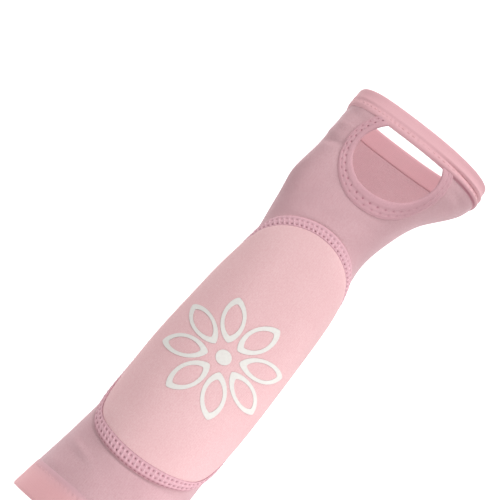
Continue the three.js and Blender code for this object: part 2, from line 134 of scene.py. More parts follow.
class WornForm:
    """The smooth form of the worn sleeve, on which every piece of cloth is laid."""

    STATION_STEP = 1.0
    STATION_MARGIN = 10
    ANGLE_STEPS = 720
    SHARE_STEPS = 800
    SLOPE_STEP = 0.5
    END_SLACK = 0.001

    def __init__(self, sections: tuple[Section, ...], folds: tuple[Fold, ...]) -> None:
        """Work out the lengths around the form at each station.

        Args:
            sections: The form's sections, from the elbow end to the hand end.
            folds: The cloth's soft folds.
        """
        self.rows = np.array([astuple(section) for section in sections])
        self.folds = folds
        first, last = sections[0].x - self.STATION_MARGIN, sections[-1].x + self.STATION_MARGIN
        self.stations = np.arange(first, last, self.STATION_STEP)
        angles = np.linspace(-math.pi, math.pi, self.ANGLE_STEPS + 1)
        outline = self.section_point(
            np.repeat(self.stations, len(angles)), np.tile(angles, len(self.stations))
        ).reshape(len(self.stations), len(angles), 2)
        steps = np.linalg.norm(np.diff(outline, axis=1), axis=2)
        lengths = np.pad(np.cumsum(steps, axis=1), ((0, 0), (1, 0)))
        lengths -= lengths[:, [self.ANGLE_STEPS // 2]]
        self.little_girth = -lengths[:, 0]
        self.thumb_girth = lengths[:, -1]
        shares = np.linspace(-1, 1, self.SHARE_STEPS + 1)
        self.angles = np.empty((len(self.stations), len(shares)))
        for row, length in enumerate(lengths):
            reach = np.where(shares < 0, -shares * length[0], shares * length[-1])
            self.angles[row] = np.interp(reach, length, angles)

    def columns(self, x: np.ndarray) -> np.ndarray:
        """The section's six values at each x, by a smooth curve through the rows.

        Args:
            x: Places along the sleeve.

        Returns:
            One row of little, thumb, top, bottom, square and heel for each place.
        """
        rows = self.rows
        last = len(rows) - 1
        start = np.clip(np.searchsorted(rows[:, 0], x, side="left") - 1, 0, last - 1)
        before, a, b, after = (rows[np.clip(start + k, 0, last)] for k in (-1, 0, 1, 2))
        span = (b[:, 0] - a[:, 0])[:, None]
        t = ((x - a[:, 0]) / span[:, 0])[:, None]
        start_slope = (b - before) / (b[:, :1] - before[:, :1])
        end_slope = (after - a) / (after[:, :1] - a[:, :1])
        curve = (
            (1 + 2 * t) * (1 - t) ** 2 * a
            + t * (1 - t) ** 2 * span * start_slope
            + t * t * (3 - 2 * t) * b
            + t * t * (t - 1) * span * end_slope
        )
        return curve[:, 1:]

    def section_point(self, x: np.ndarray, angle: np.ndarray) -> np.ndarray:
        """Y and Z of the form at each x and angle, with angle 0 on the padded face.

        Args:
            x: Places along the sleeve.
            angle: Angles around it, growing towards the thumb side.

        Returns:
            One (y, z) row for each place.
        """
        little, thumb, top, bottom, square, heel = self.columns(x).T
        across = np.sin(angle)
        up = np.cos(angle)
        power = 2 / np.where(across > 0, square, heel)
        y = -np.where(across > 0, thumb, little) * np.sign(across) * np.abs(across) ** power
        z = np.where(up > 0, top, bottom) * np.sign(up) * np.abs(up) ** power
        return np.stack([y, z], -1)

    def around(self, x: np.ndarray, share: np.ndarray) -> np.ndarray:
        """Length s at a share of the half girth.

        Args:
            x: Places along the sleeve.
            share: Shares from -1, round the little finger side, to 1.

        Returns:
            A length for each place.
        """
        little = np.interp(x, self.stations, self.little_girth)
        thumb = np.interp(x, self.stations, self.thumb_girth)
        return np.where(share < 0, share * little, share * thumb)

    def share(self, x: np.ndarray, s: np.ndarray) -> np.ndarray:
        """Share of the half girth at a length s, the reverse of around().

        Args:
            x: Places along the sleeve.
            s: Lengths around it.

        Returns:
            A share for each place.
        """
        little = np.interp(x, self.stations, self.little_girth)
        thumb = np.interp(x, self.stations, self.thumb_girth)
        return np.where(s < 0, s / little, s / thumb)

    def skin(self, x: np.ndarray, s: np.ndarray) -> np.ndarray:
        """Points of the smooth outer face.

        Args:
            x: Places along the sleeve.
            s: Lengths around it.

        Returns:
            One point in millimetres for each place.
        """
        share = np.mod(self.share(x, s) + 1, 2)
        row = np.clip((x - self.stations[0]) / self.STATION_STEP, 0, len(self.stations) - 1 - self.END_SLACK)
        column = np.clip(share / 2 * self.SHARE_STEPS, 0, self.SHARE_STEPS - TINY)
        i = row.astype(int)
        j = column.astype(int)
        f = row - i
        g = column - j
        table = self.angles
        angle = (table[i, j] * (1 - g) + table[i, j + 1] * g) * (1 - f)
        angle += (table[i + 1, j] * (1 - g) + table[i + 1, j + 1] * g) * f
        return np.concatenate([x[:, None], self.section_point(x, angle)], axis=1)

    def outward(self, x: np.ndarray, s: np.ndarray) -> np.ndarray:
        """Unit vectors out of the smooth face.

        Args:
            x: Places along the sleeve.
            s: Lengths around it.

        Returns:
            One vector for each place.
        """
        step = self.SLOPE_STEP
        along = self.skin(x + step, s) - self.skin(x - step, s)
        around = self.skin(x, s + step) - self.skin(x, s - step)
        normal = np.cross(around, along)
        return normal / np.linalg.norm(normal, axis=1, keepdims=True)

    def fold_height(self, x: np.ndarray, s: np.ndarray) -> np.ndarray:
        """Height of all folds, each of which fades towards its ends.

        Args:
            x: Places along the sleeve.
            s: Lengths around it.

        Returns:
            A height for each place.
        """
        height = np.zeros_like(x)
        for fold in self.folds:
            line = np.array([fold.x2 - fold.x1, fold.s2 - fold.s1])
            half = np.linalg.norm(line) / 2
            line = line / (2 * half)
            dx = x - (fold.x1 + fold.x2) / 2
            ds = s - (fold.s1 + fold.s2) / 2
            along = (dx * line[0] + ds * line[1]) / half
            off = dx * line[1] - ds * line[0]
            height += fold.height * np.clip(1 - along**2, 0, None) ** 2 * bell(off, fold.width)
        return height

    def place(self, x: np.ndarray, s: np.ndarray, lift: np.ndarray | float) -> np.ndarray:
        """Points at a height over the folded cloth.

        Args:
            x: Places along the sleeve.
            s: Lengths around it.
            lift: Heights along the outward direction.

        Returns:
            One point in metres for each place.
        """
        height = (self.fold_height(x, s) + lift)[:, None]
        return (self.skin(x, s) + self.outward(x, s) * height) * MM


# Outlines on the unrolled cloth

@dataclass(frozen=True)
class Ends:
    """The x of the sleeve's ends and hem lines; those at the elbow end are slanted."""

    elbow_end: float = -214.0
    elbow_hem: float = -195.8
    elbow_slant: float = 0.09
    hand_hem: float = 67.3
    hand_end: float = 79.4

    def elbow_line(self, form: WornForm, x: float, share: np.ndarray) -> np.ndarray:
        """X of a slanted line round the elbow end at each share of the girth."""
        level = np.full_like(share, x)
        return x + self.elbow_slant * form.skin(level, form.around(level, share))[:, 2]


@dataclass(frozen=True)
class ThumbOpening:
    """The thumb opening on the unrolled cloth: a leaning oval that the hand hem cuts off, and its own hem."""

    x: float = 52.9
    s: float = 9.7
    along: float = 21.7
    across: float = 24.7
    lean: float = 0.12
    hem_side: float = 6.8
    hem_bottom: float = 10.4

    def ends(self, top: float) -> tuple[float, float]:
        """Angles at which the rim leaves a line round the sleeve on the thumb side, and comes back to it.

        Args:
            top: The line's x.

        Returns:
            The two angles.
        """
        lean = self.lean * self.across
        turn = math.atan2(lean, self.along)
        gap = math.acos((top - self.x) / math.hypot(lean, self.along))
        return turn + gap, turn + TURN - gap

    def rim(self, angle: np.ndarray) -> tuple[np.ndarray, np.ndarray]:
        """Place (x, s) on the rim at each angle."""
        across = self.across * np.sin(angle)
        return self.x + self.along * np.cos(angle) + self.lean * across, self.s + across

    def hem(self, angle: np.ndarray, grow: float, top: float) -> tuple[np.ndarray, np.ndarray]:
        """Place (x, s) on the hem's outer edge, straight out from the rim.

        Args:
            angle: Angles of the rim.
            grow: How far outside the edge.
            top: The x that the edge doesn't pass.

        Returns:
            The x and s of each place.
        """
        x, s = self.rim(angle)
        dx = self.lean * self.across * np.cos(angle) - self.along * np.sin(angle)
        ds = self.across * np.cos(angle)
        bottom = np.clip(-np.cos(angle), 0, None) ** 2
        reach = (self.hem_side + (self.hem_bottom - self.hem_side) * bottom + grow) / np.hypot(dx, ds)
        return np.minimum(top, x + reach * ds), s - reach * dx

    def angle(self, x: np.ndarray, s: np.ndarray) -> np.ndarray:
        """Angle of the rim's ray through each place.

        Args:
            x: Places along the sleeve.
            s: Lengths around it.

        Returns:
            An angle from 0 to a whole turn for each place.
        """
        across = s - self.s
        along = x - self.x - self.lean * across
        return np.mod(np.arctan2(across / self.across, along / self.along), TURN)

    def reach(self, x: np.ndarray, s: np.ndarray) -> np.ndarray:
        """How far out each place lies, where 1 is on the rim."""
        across = s - self.s
        return np.hypot(across / self.across, (x - self.x - self.lean * across) / self.along)


@dataclass(frozen=True)
class PadOutline:
    """The pad and its seam on the unrolled cloth.

    Its hand end is half an oval; the rest is an oblong with rounded corners and a bowed, slanted elbow end.
    """

    elbow_end: float = -166.4
    hand_end: float = 0.5
    hand_round: float = 68.0
    s: float = 4.0
    half_width: float = 54.0
    corner: float = 25.0
    arch_radius: float = 85.0
    elbow_slant: float = 4.0
    even_inset: float = 5.0
    ARC_STEPS: ClassVar[int] = 48
    FILL_STEPS: ClassVar[int] = 1200

    @property
    def middle(self) -> float:
        """X where the round hand end begins."""
        return self.hand_end - self.hand_round

    @property
    def elbow_length(self) -> float:
        """Length from where the round end begins to the elbow end, on the middle line."""
        return self.middle - self.elbow_end

    def stretch(self, along: np.ndarray, across: np.ndarray) -> np.ndarray:
        """How much longer the pad is at a place than with a straight end, because its elbow end is bowed.

        Args:
            along: Places along the pad from where its round end begins.
            across: Places across it from its middle line.

        Returns:
            A factor for each place.
        """
        bow = across**2 / (2 * self.arch_radius)
        slant = self.elbow_slant * across / self.half_width
        return np.where(along < 0, 1 - (slant + bow) / self.elbow_length, 1.0)

    def warp(self, along: np.ndarray, across: np.ndarray) -> tuple[np.ndarray, np.ndarray]:
        """Place (x, s) of a point of the straight outline."""
        return self.middle + along * self.stretch(along, across), self.s + across

    def unwarp(self, x: np.ndarray, s: np.ndarray) -> tuple[np.ndarray, np.ndarray]:
        """Point of the straight outline at a place (x, s)."""
        across = s - self.s
        return (x - self.middle) / self.stretch(x - self.middle, across), across

    def straight(self, inset: float) -> tuple[np.ndarray, np.ndarray]:
        """The outline with a straight elbow end, moved in by the inset, from the middle of its hand end.

        Args:
            inset: How far in from the seam's outer edge.

        Returns:
            The outline's points, the first also last, and the length along it at each.
        """
        quarter = TURN * np.linspace(0, 0.25, self.ARC_STEPS + 1)
        out = np.stack([np.cos(quarter) / self.hand_round, np.sin(quarter) / self.half_width], -1)
        out /= np.linalg.norm(out, axis=1, keepdims=True)
        size = np.array([self.hand_round, self.half_width])
        hand = np.stack([np.cos(quarter), np.sin(quarter)], -1) * size - inset * out
        corner = self.corner - inset
        centre = np.array([self.corner - self.elbow_length, self.half_width - self.corner])
        elbow = centre + corner * np.stack([-np.sin(quarter), np.cos(quarter)], -1)
        half = np.concatenate([hand, elbow])
        outline = np.concatenate([half, half[::-1] * np.array([1, -1])])
        steps = np.linalg.norm(np.diff(outline, axis=0), axis=1)
        return outline, np.concatenate([[0.0], np.cumsum(steps)])

    def point(self, turn: np.ndarray, inset: float) -> tuple[np.ndarray, np.ndarray]:
        """Place (x, s) on the inset outline, at shares that are evenly spaced where the inset is even_inset.

        Args:
            turn: Shares of the way round, from the middle of the hand end.
            inset: How far in from the seam's outer edge.

        Returns:
            The x and s of each place.
        """
        outline, _ = self.straight(inset)
        _, lengths = self.straight(self.even_inset)
        reach = np.mod(turn, 1.0) * lengths[-1]
        along = np.interp(reach, lengths, outline[:, 0])
        across = np.interp(reach, lengths, outline[:, 1])
        return self.warp(along, across)

    def fill(self, u: np.ndarray, v: np.ndarray, inset: float) -> tuple[np.ndarray, np.ndarray]:
        """Places that fill the outline evenly from a square grid.

        Args:
            u: Grid places across the pad, from -1 to 1.
            v: Grid places along the pad, from -1 to 1.
            inset: How far in from the seam's outer edge the outermost grid ring lies.

        Returns:
            The x and s of each place.
        """
        outline, lengths = self.straight(inset)
        way = np.linspace(0, lengths[-1], self.FILL_STEPS, endpoint=False)
        along = np.interp(way, lengths, outline[:, 0])
        across = np.interp(way, lengths, outline[:, 1])
        ring = np.maximum(np.abs(u), np.abs(v))
        length = np.where(v > 0, self.hand_round, self.elbow_length) - inset
        angle = np.arctan2(u * (self.half_width - inset), v * length)
        reach = ring * np.interp(angle, np.arctan2(across, along), np.hypot(along, across), period=TURN)
        return self.warp(reach * np.cos(angle), reach * np.sin(angle))


ENDS = Ends()
THUMB = ThumbOpening()
PAD = PadOutline()
FORM = WornForm(SECTIONS, MAIN_FOLDS + FINE_FOLDS)


# Small helpers for modelling

def deselect() -> None:
    """Deselect every object and leave edit mode."""
    if bpy.context.mode != "OBJECT":
        bpy.ops.object.mode_set(mode="OBJECT")
    bpy.ops.object.select_all(action="DESELECT")


def activate(obj: bpy.types.Object) -> None:
    """Select one object alone and make it the active one.

    Args:
        obj: The object.
    """
    deselect()
    obj.select_set(True)
    bpy.context.view_layer.objects.active = obj


@contextmanager
def editing(obj: bpy.types.Object, select_mode: str) -> Iterator[None]:
    """Hold one object in edit mode.

    Args:
        obj: The object.
        select_mode: VERT, EDGE or FACE.

    Returns:
        A context in which edit operators act on the object.
    """
    activate(obj)
    kinds = ("VERT", "EDGE", "FACE")
    bpy.context.tool_settings.mesh_select_mode = tuple(select_mode == kind for kind in kinds)
    bpy.ops.object.mode_set(mode="EDIT")
    try:
        yield
    finally:
        bpy.ops.object.mode_set(mode="OBJECT")


def read_items(items: bpy.types.bpy_prop_collection, name: str, width: int, kind: type) -> np.ndarray:
    """Read one property of all the vertices, edges, faces or corners of a mesh.

    Args:
        items: The mesh's vertices, edges, polygons or loops.
        name: The property.
        width: How many numbers each item has.
        kind: The numbers' type.

    Returns:
        One row for each item.
    """
    numbers = np.empty(len(items) * width, kind)
    items.foreach_get(name, numbers)
    return numbers.reshape(-1, width)


def read_points(obj: bpy.types.Object) -> np.ndarray:
    """The object's vertices as one row each."""
    return read_items(obj.data.vertices, "co", 3, np.float64)


def write_points(obj: bpy.types.Object, points: np.ndarray) -> None:
    """Move the object's vertices."""
    obj.data.vertices.foreach_set("co", points.astype(np.float32).ravel())
    obj.data.update()


def select_only(obj: bpy.types.Object, kind: str, chosen: np.ndarray) -> None:
    """Select some vertices, edges or faces of a mesh and nothing else of it.

    Args:
        obj: The object.
        kind: vertices, edges or polygons.
        chosen: Whether each of them is selected.
    """
    for name in ("vertices", "edges", "polygons"):
        items = getattr(obj.data, name)
        items.foreach_set("select", chosen if name == kind else np.zeros(len(items), bool))


def open_edges(obj: bpy.types.Object) -> np.ndarray:
    """Which edges of a mesh have only one face."""
    users = read_items(obj.data.loops, "edge_index", 1, np.int32)[:, 0]
    return np.bincount(users, minlength=len(obj.data.edges)) == 1


def new_grid(name: str, across: int, along: int) -> tuple[bpy.types.Object, np.ndarray, np.ndarray]:
    """Add a flat grid as the start of a cut piece of cloth.

    Args:
        name: The piece's name.
        across: Faces across.
        along: Faces along.

    Returns:
        The object, and each vertex's place across and along, from -1 to 1.
    """
    deselect()
    bpy.ops.mesh.primitive_grid_add(x_subdivisions=across, y_subdivisions=along, size=2.0, calc_uvs=False)
    obj = bpy.context.active_object
    obj.name = name
    obj.data.name = name
    flat = read_points(obj)
    return obj, flat[:, 0], flat[:, 1]


def keep_cut(obj: bpy.types.Object, x: np.ndarray, s: np.ndarray) -> None:
    """Keep each vertex's place on the cloth, in metres, as the UV map that its knit follows.

    Args:
        obj: The piece.
        x: Each vertex's place along the sleeve.
        s: Each vertex's length around it.
    """
    layer = obj.data.uv_layers.new(name="cut")
    corners = read_items(obj.data.loops, "vertex_index", 1, np.int32)[:, 0]
    layer.data.foreach_set("uv", (np.stack([s, x], -1)[corners] * MM).astype(np.float32).ravel())


def keep_share(obj: bpy.types.Object, name: str, share: np.ndarray) -> None:
    """Keep a number from 0 to 1 for each vertex, which the finish reads by its name."""
    layer = obj.data.attributes.new(name, "FLOAT", "POINT")
    layer.data.foreach_set("value", np.clip(share, 0, 1).astype(np.float32))


def close_seams(obj: bpy.types.Object) -> None:
    """Sew together the edges of a wrapped cut that now lie on each other.

    Args:
        obj: The piece.
    """
    with editing(obj, "VERT"):
        bpy.ops.mesh.select_all(action="SELECT")
        bpy.ops.mesh.remove_doubles(threshold=SEW_BELOW * MM)


def add_applied(obj: bpy.types.Object, kind: str, **settings: object) -> None:
    """Add a modifier and apply it.

    Args:
        obj: The piece.
        kind: The modifier's type.
        settings: Values of its properties.
    """
    activate(obj)
    modifier = obj.modifiers.new(kind.lower(), kind)
    for name, value in settings.items():
        setattr(modifier, name, value)
    bpy.ops.object.modifier_apply(modifier=modifier.name)


def finish_piece(obj: bpy.types.Object, material: bpy.types.Material, slot: str, *nodes: str) -> None:
    """Smooth and paint a piece, and tie it to the frame.

    Args:
        obj: The piece.
        material: Its material.
        slot: Not used.
        nodes: The CAD nodes that it stands for.
    """
    activate(obj)
    bpy.ops.object.shade_smooth_by_angle(angle=SMOOTH_BELOW)
    obj.data.materials.clear()
    obj.data.materials.append(material)
    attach(obj, "root")
    if nodes:
        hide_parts(*nodes)
    LOG.info("%s: %d faces", obj.name, len(obj.data.polygons))


# Finishes

def linear(colour: str) -> tuple[float, float, float, float]:
    """An sRGB hex colour as linear red, green, blue and alpha."""
    channels = (int(colour[k:k + 2], 16) / 255 for k in (1, 3, 5))
    return (*(c / 12.92 if c <= 0.04045 else ((c + 0.055) / 1.055) ** 2.4 for c in channels), 1.0)


def add(
    tree: bpy.types.NodeTree,
    kind: str,
    settings: dict[str, object] | None = None,
    values: dict[str | int, object] | None = None,
    links: dict[str | int, bpy.types.NodeSocket] | None = None,
) -> bpy.types.Node:
    """Add a node with its settings and links.

    Args:
        tree: The material's node tree.
        kind: The node's type.
        settings: Values of the node's own properties.
        values: Values of its inputs.
        links: The sockets that feed its inputs.

    Returns:
        The node.
    """
    node = tree.nodes.new(kind)
    for name, value in (settings or {}).items():
        setattr(node, name, value)
    for name, value in (values or {}).items():
        node.inputs[name].default_value = value
    for name, source in (links or {}).items():
        tree.links.new(source, node.inputs[name])
    return node


def new_material(name: str) -> tuple[bpy.types.Material, bpy.types.NodeTree, bpy.types.Node]:
    """Start a material.

    Args:
        name: The material's name.

    Returns:
        The material, its node tree, and its output node, which is the only one.
    """
    material = bpy.data.materials.new(name)
    material.use_nodes = True
    material.node_tree.nodes.clear()
    return material, material.node_tree, add(material.node_tree, "ShaderNodeOutputMaterial")


@dataclass(frozen=True)
class KnitFinish:
    """Weft-knit polyester and elastane: rows of small V loops, a soft bloom at grazing light, no gloss.

    The loops are drawn about twice as coarse as the real gauge, so that they still show at the render's size.
    """

    name: str
    colour: str
    # Darker colour: painted shade in the loops' recesses, and the tone of the random clouds
    recess_shade_and_cloud: str
    fleck: str
    roughness: float
    sheen: float
    sheen_colour: str
    wale: float = 1.5
    course: float = 1.3
    loop_depth: float = 0.16
    loop_slope: float = 1.4
    fuzz: float = 0.6
    rough_spread: float = 0.06
    # How much painted shade the bottom of the loops gets
    recess_shade_share: float = 0.5
    fleck_size: float = 0.8
    fleck_share: float = 0.35
    cloud_size: float = 28.0
    cloud_share: float = 0.25
    # Colour of painted shade in needle holes, along creases and under lips
    painted_shade_colour: str = "#a96a79"
    blend_colour: str = "#d4a9b2"

    def material(self) -> bpy.types.Material:
        """Make the knit.

        Returns:
            The material, which reads the piece's cut and Object coordinates.
        """
        material, tree, output = new_material(self.name)
        cut = add(tree, "ShaderNodeUVMap", {"uv_map": "cut"})
        place = add(tree, "ShaderNodeSeparateXYZ", links={0: cut.outputs[0]})
        wale = add(tree, "ShaderNodeMath", {"operation": "MULTIPLY"}, {1: TURN / (self.wale * MM)},
                   {0: place.outputs["X"]})
        rib = add(tree, "ShaderNodeMath", {"operation": "COSINE"}, links={0: wale.outputs[0]})
        lean = add(tree, "ShaderNodeMath", {"operation": "PINGPONG"}, {1: self.wale * MM / 2},
                   {0: place.outputs["X"]})
        climb = add(tree, "ShaderNodeMath", {"operation": "MULTIPLY_ADD"}, {1: self.loop_slope},
                    {0: lean.outputs[0], 2: place.outputs["Y"]})
        step = add(tree, "ShaderNodeMath", {"operation": "MULTIPLY"}, {1: TURN / (self.course * MM)},
                   {0: climb.outputs[0]})
        loop = add(tree, "ShaderNodeMath", {"operation": "SINE"}, links={0: step.outputs[0]})
        knit = add(tree, "ShaderNodeMath", {"operation": "SUBTRACT"},
                   links={0: loop.outputs[0], 1: rib.outputs[0]})
        height = add(tree, "ShaderNodeMapRange", values={"From Min": -2.0, "From Max": 2.0},
                     links={"Value": knit.outputs[0]})
        object_place = add(tree, "ShaderNodeTexCoord")
        fleck = add(tree, "ShaderNodeTexNoise", values={"Scale": 1 / (self.fleck_size * MM), "Detail": 3.0},
                    links={"Vector": object_place.outputs["Object"]})
        cloud = add(tree, "ShaderNodeTexNoise", values={"Scale": 1 / (self.cloud_size * MM), "Detail": 2.0},
                    links={"Vector": object_place.outputs["Object"]})
        # Painted shade: the knit's low places are darkened towards the darker colour
        recess_shade = add(tree, "ShaderNodeMapRange", values={"To Min": self.recess_shade_share, "To Max": 0.0},
                   links={"Value": height.outputs[0]})
        shaded = add(tree, "ShaderNodeMix", {"data_type": "RGBA"},
                     {6: linear(self.colour), 7: linear(self.recess_shade_and_cloud)}, {0: recess_shade.outputs[0]})
        spots = add(tree, "ShaderNodeMapRange",
                    values={"From Min": 0.35, "From Max": 0.7, "To Max": self.fleck_share},
                    links={"Value": fleck.outputs[0]})
        flecked = add(tree, "ShaderNodeMix", {"data_type": "RGBA"}, {7: linear(self.fleck)},
                      {0: spots.outputs[0], 6: shaded.outputs[2]})
        drift = add(tree, "ShaderNodeMapRange",
                    values={"From Min": 0.3, "From Max": 0.7, "To Max": self.cloud_share},
                    links={"Value": cloud.outputs[0]})
        # Random clouds of tone in the same darker colour
        tinted = add(tree, "ShaderNodeMix", {"data_type": "RGBA"}, {7: linear(self.recess_shade_and_cloud)},
                     {0: drift.outputs[0], 6: flecked.outputs[2]})
        share = add(tree, "ShaderNodeAttribute", {"attribute_name": "blend"})
        blended = add(tree, "ShaderNodeMix", {"data_type": "RGBA"}, {7: linear(self.blend_colour)},
                      {0: share.outputs["Fac"], 6: tinted.outputs[2]})
        # Painted shade, where a piece marks it: in needle holes, along creases and under lips
        shade_share = add(tree, "ShaderNodeAttribute", {"attribute_name": "needle_hole"})
        with_painted_shade = add(tree, "ShaderNodeMix", {"data_type": "RGBA"}, {7: linear(self.painted_shade_colour)},
                      {0: shade_share.outputs["Fac"], 6: blended.outputs[2]})
        fuzz = add(tree, "ShaderNodeMath", {"operation": "MULTIPLY_ADD"}, {1: self.fuzz},
                   {0: fleck.outputs[0], 2: height.outputs[0]})
        bump = add(tree, "ShaderNodeBump", values={"Strength": 0.6, "Distance": self.loop_depth * MM},
                   links={"Height": fuzz.outputs[0]})
        rough = add(tree, "ShaderNodeMapRange",
                    values={"To Min": self.roughness - self.rough_spread,
                            "To Max": self.roughness + self.rough_spread},
                    links={"Value": fleck.outputs[0]})
        shader = add(
            tree,
            "ShaderNodeBsdfPrincipled",
            values={
                "IOR": 1.45,
                "Specular IOR Level": 0.3,
                "Sheen Weight": self.sheen,
                "Sheen Roughness": 0.45,
                "Sheen Tint": linear(self.sheen_colour),
            },
            links={
                "Base Color": with_painted_shade.outputs[2],
                "Roughness": rough.outputs[0],
                "Normal": bump.outputs[0],
            },
        )
        tree.links.new(shader.outputs[0], output.inputs["Surface"])
        return material


@dataclass(frozen=True)
class ThreadFinish:
    """Spun polyester sewing thread: matte, with the light and dark of its twist."""

    name: str
    colour: str
    shade: str
    twist: float = 0.9

    def material(self) -> bpy.types.Material:
        """Make the thread.

        Returns:
            The material, which reads Object coordinates.
        """
        material, tree, output = new_material(self.name)
        place = add(tree, "ShaderNodeTexCoord")
        noise = add(tree, "ShaderNodeTexNoise", values={"Scale": 1 / (self.twist * MM), "Detail": 1.0},
                    links={"Vector": place.outputs["Object"]})
        colour = add(tree, "ShaderNodeMix", {"data_type": "RGBA"},
                     {6: linear(self.shade), 7: linear(self.colour)}, {0: noise.outputs[0]})
        bump = add(tree, "ShaderNodeBump", values={"Strength": 0.3, "Distance": 0.05 * MM},
                   links={"Height": noise.outputs[0]})
        shader = add(tree, "ShaderNodeBsdfPrincipled",
                     values={"Roughness": 0.7, "IOR": 1.45, "Specular IOR Level": 0.35, "Sheen Weight": 0.2},
                     links={"Base Color": colour.outputs[2], "Normal": bump.outputs[0]})
        tree.links.new(shader.outputs[0], output.inputs["Surface"])
        return material


@dataclass(frozen=True)
class FilmFinish:
    """Heat-pressed polyurethane transfer film: off-white, satin, with the knit's grain pressed through it."""

    name: str = "transfer_film"
    colour: str = "#eeede7"
    worn: str = "#e2dcd9"
    grain: float = 1.5

    def material(self) -> bpy.types.Material:
        """Make the film.

        Returns:
            The material, which reads Object coordinates.
        """
        material, tree, output = new_material(self.name)
        place = add(tree, "ShaderNodeTexCoord")
        grain = add(tree, "ShaderNodeTexNoise", values={"Scale": 1 / (self.grain * MM), "Detail": 3.0},
                    links={"Vector": place.outputs["Object"]})
        colour = add(tree, "ShaderNodeMix", {"data_type": "RGBA"},
                     {6: linear(self.worn), 7: linear(self.colour)}, {0: grain.outputs[0]})
        bump = add(tree, "ShaderNodeBump", values={"Strength": 0.35, "Distance": 0.08 * MM},
                   links={"Height": grain.outputs[0]})
        shader = add(tree, "ShaderNodeBsdfPrincipled", values={"Roughness": 0.55, "IOR": 1.5},
                     links={"Base Color": colour.outputs[2], "Normal": bump.outputs[0]})
        tree.links.new(shader.outputs[0], output.inputs["Surface"])
        return material


# Single jersey, stretched thin: the dustiest pink, with the strongest bloom where it turns away
SLEEVE_KNIT = KnitFinish("sleeve_jersey_knit", "#d4a9af", "#be8f97", "#dfbec3", 0.74, 0.4, "#f2e2e6",
                         wale=1.1, course=1.0, loop_depth=0.1, recess_shade_share=0.4, fleck_share=0.5)
# The same jersey folded over: a little redder, since two layers let less light through
THUMB_KNIT = KnitFinish("thumb_binding_knit", "#d3a3ac", "#bd8b95", "#ddb4bb", 0.76, 0.3, "#f2e0e4",
                        wale=1.1, course=1.0, loop_depth=0.1, recess_shade_share=0.4, fleck_share=0.4)
# Doubled knit: denser, so a warmer and smoother pink
HEM_KNIT = KnitFinish("hem_double_knit", "#eeb6ba", "#d99a9f", "#f2c3c6", 0.76, 0.25, "#f6dfe0",
                      wale=1.1, course=1.0, loop_depth=0.08, recess_shade_share=0.3, fleck_share=0.3)
# Brushed tricot over foam: the palest and most matte, with soft clouds in the nap
PAD_KNIT = KnitFinish("pad_brushed_tricot", "#eabec1", "#d8a6aa", "#f2d0d1", 0.88, 0.25, "#fae8e6",
                      wale=1.0, course=0.9, loop_depth=0.08, recess_shade_share=0.4, fleck_share=0.6,
                      cloud_share=0.2)
# The cover's gathered edge: fine loops between needle holes, with painted shade in the holes and along its
# edges
SEAM_KNIT = KnitFinish("seam_edge_knit", "#deafb9", "#cb98a3", "#e9c3cb", 0.78, 0.3, "#f8e6e8",
                       loop_depth=0.06, recess_shade_share=0.2, fleck_share=0.25, painted_shade_colour="#935764")
# Spun polyester thread, lighter than the cloth that it sews
SEAM_THREAD = ThreadFinish("seam_polyester_thread", "#f4ccd5", "#e0b1bc")
HEM_THREAD = ThreadFinish("hem_polyester_thread", "#ecbfc2", "#d9a3a8")
THUMB_THREAD = ThreadFinish("thumb_polyester_thread", "#dcb2ba", "#c399a2")


# Pieces of cloth

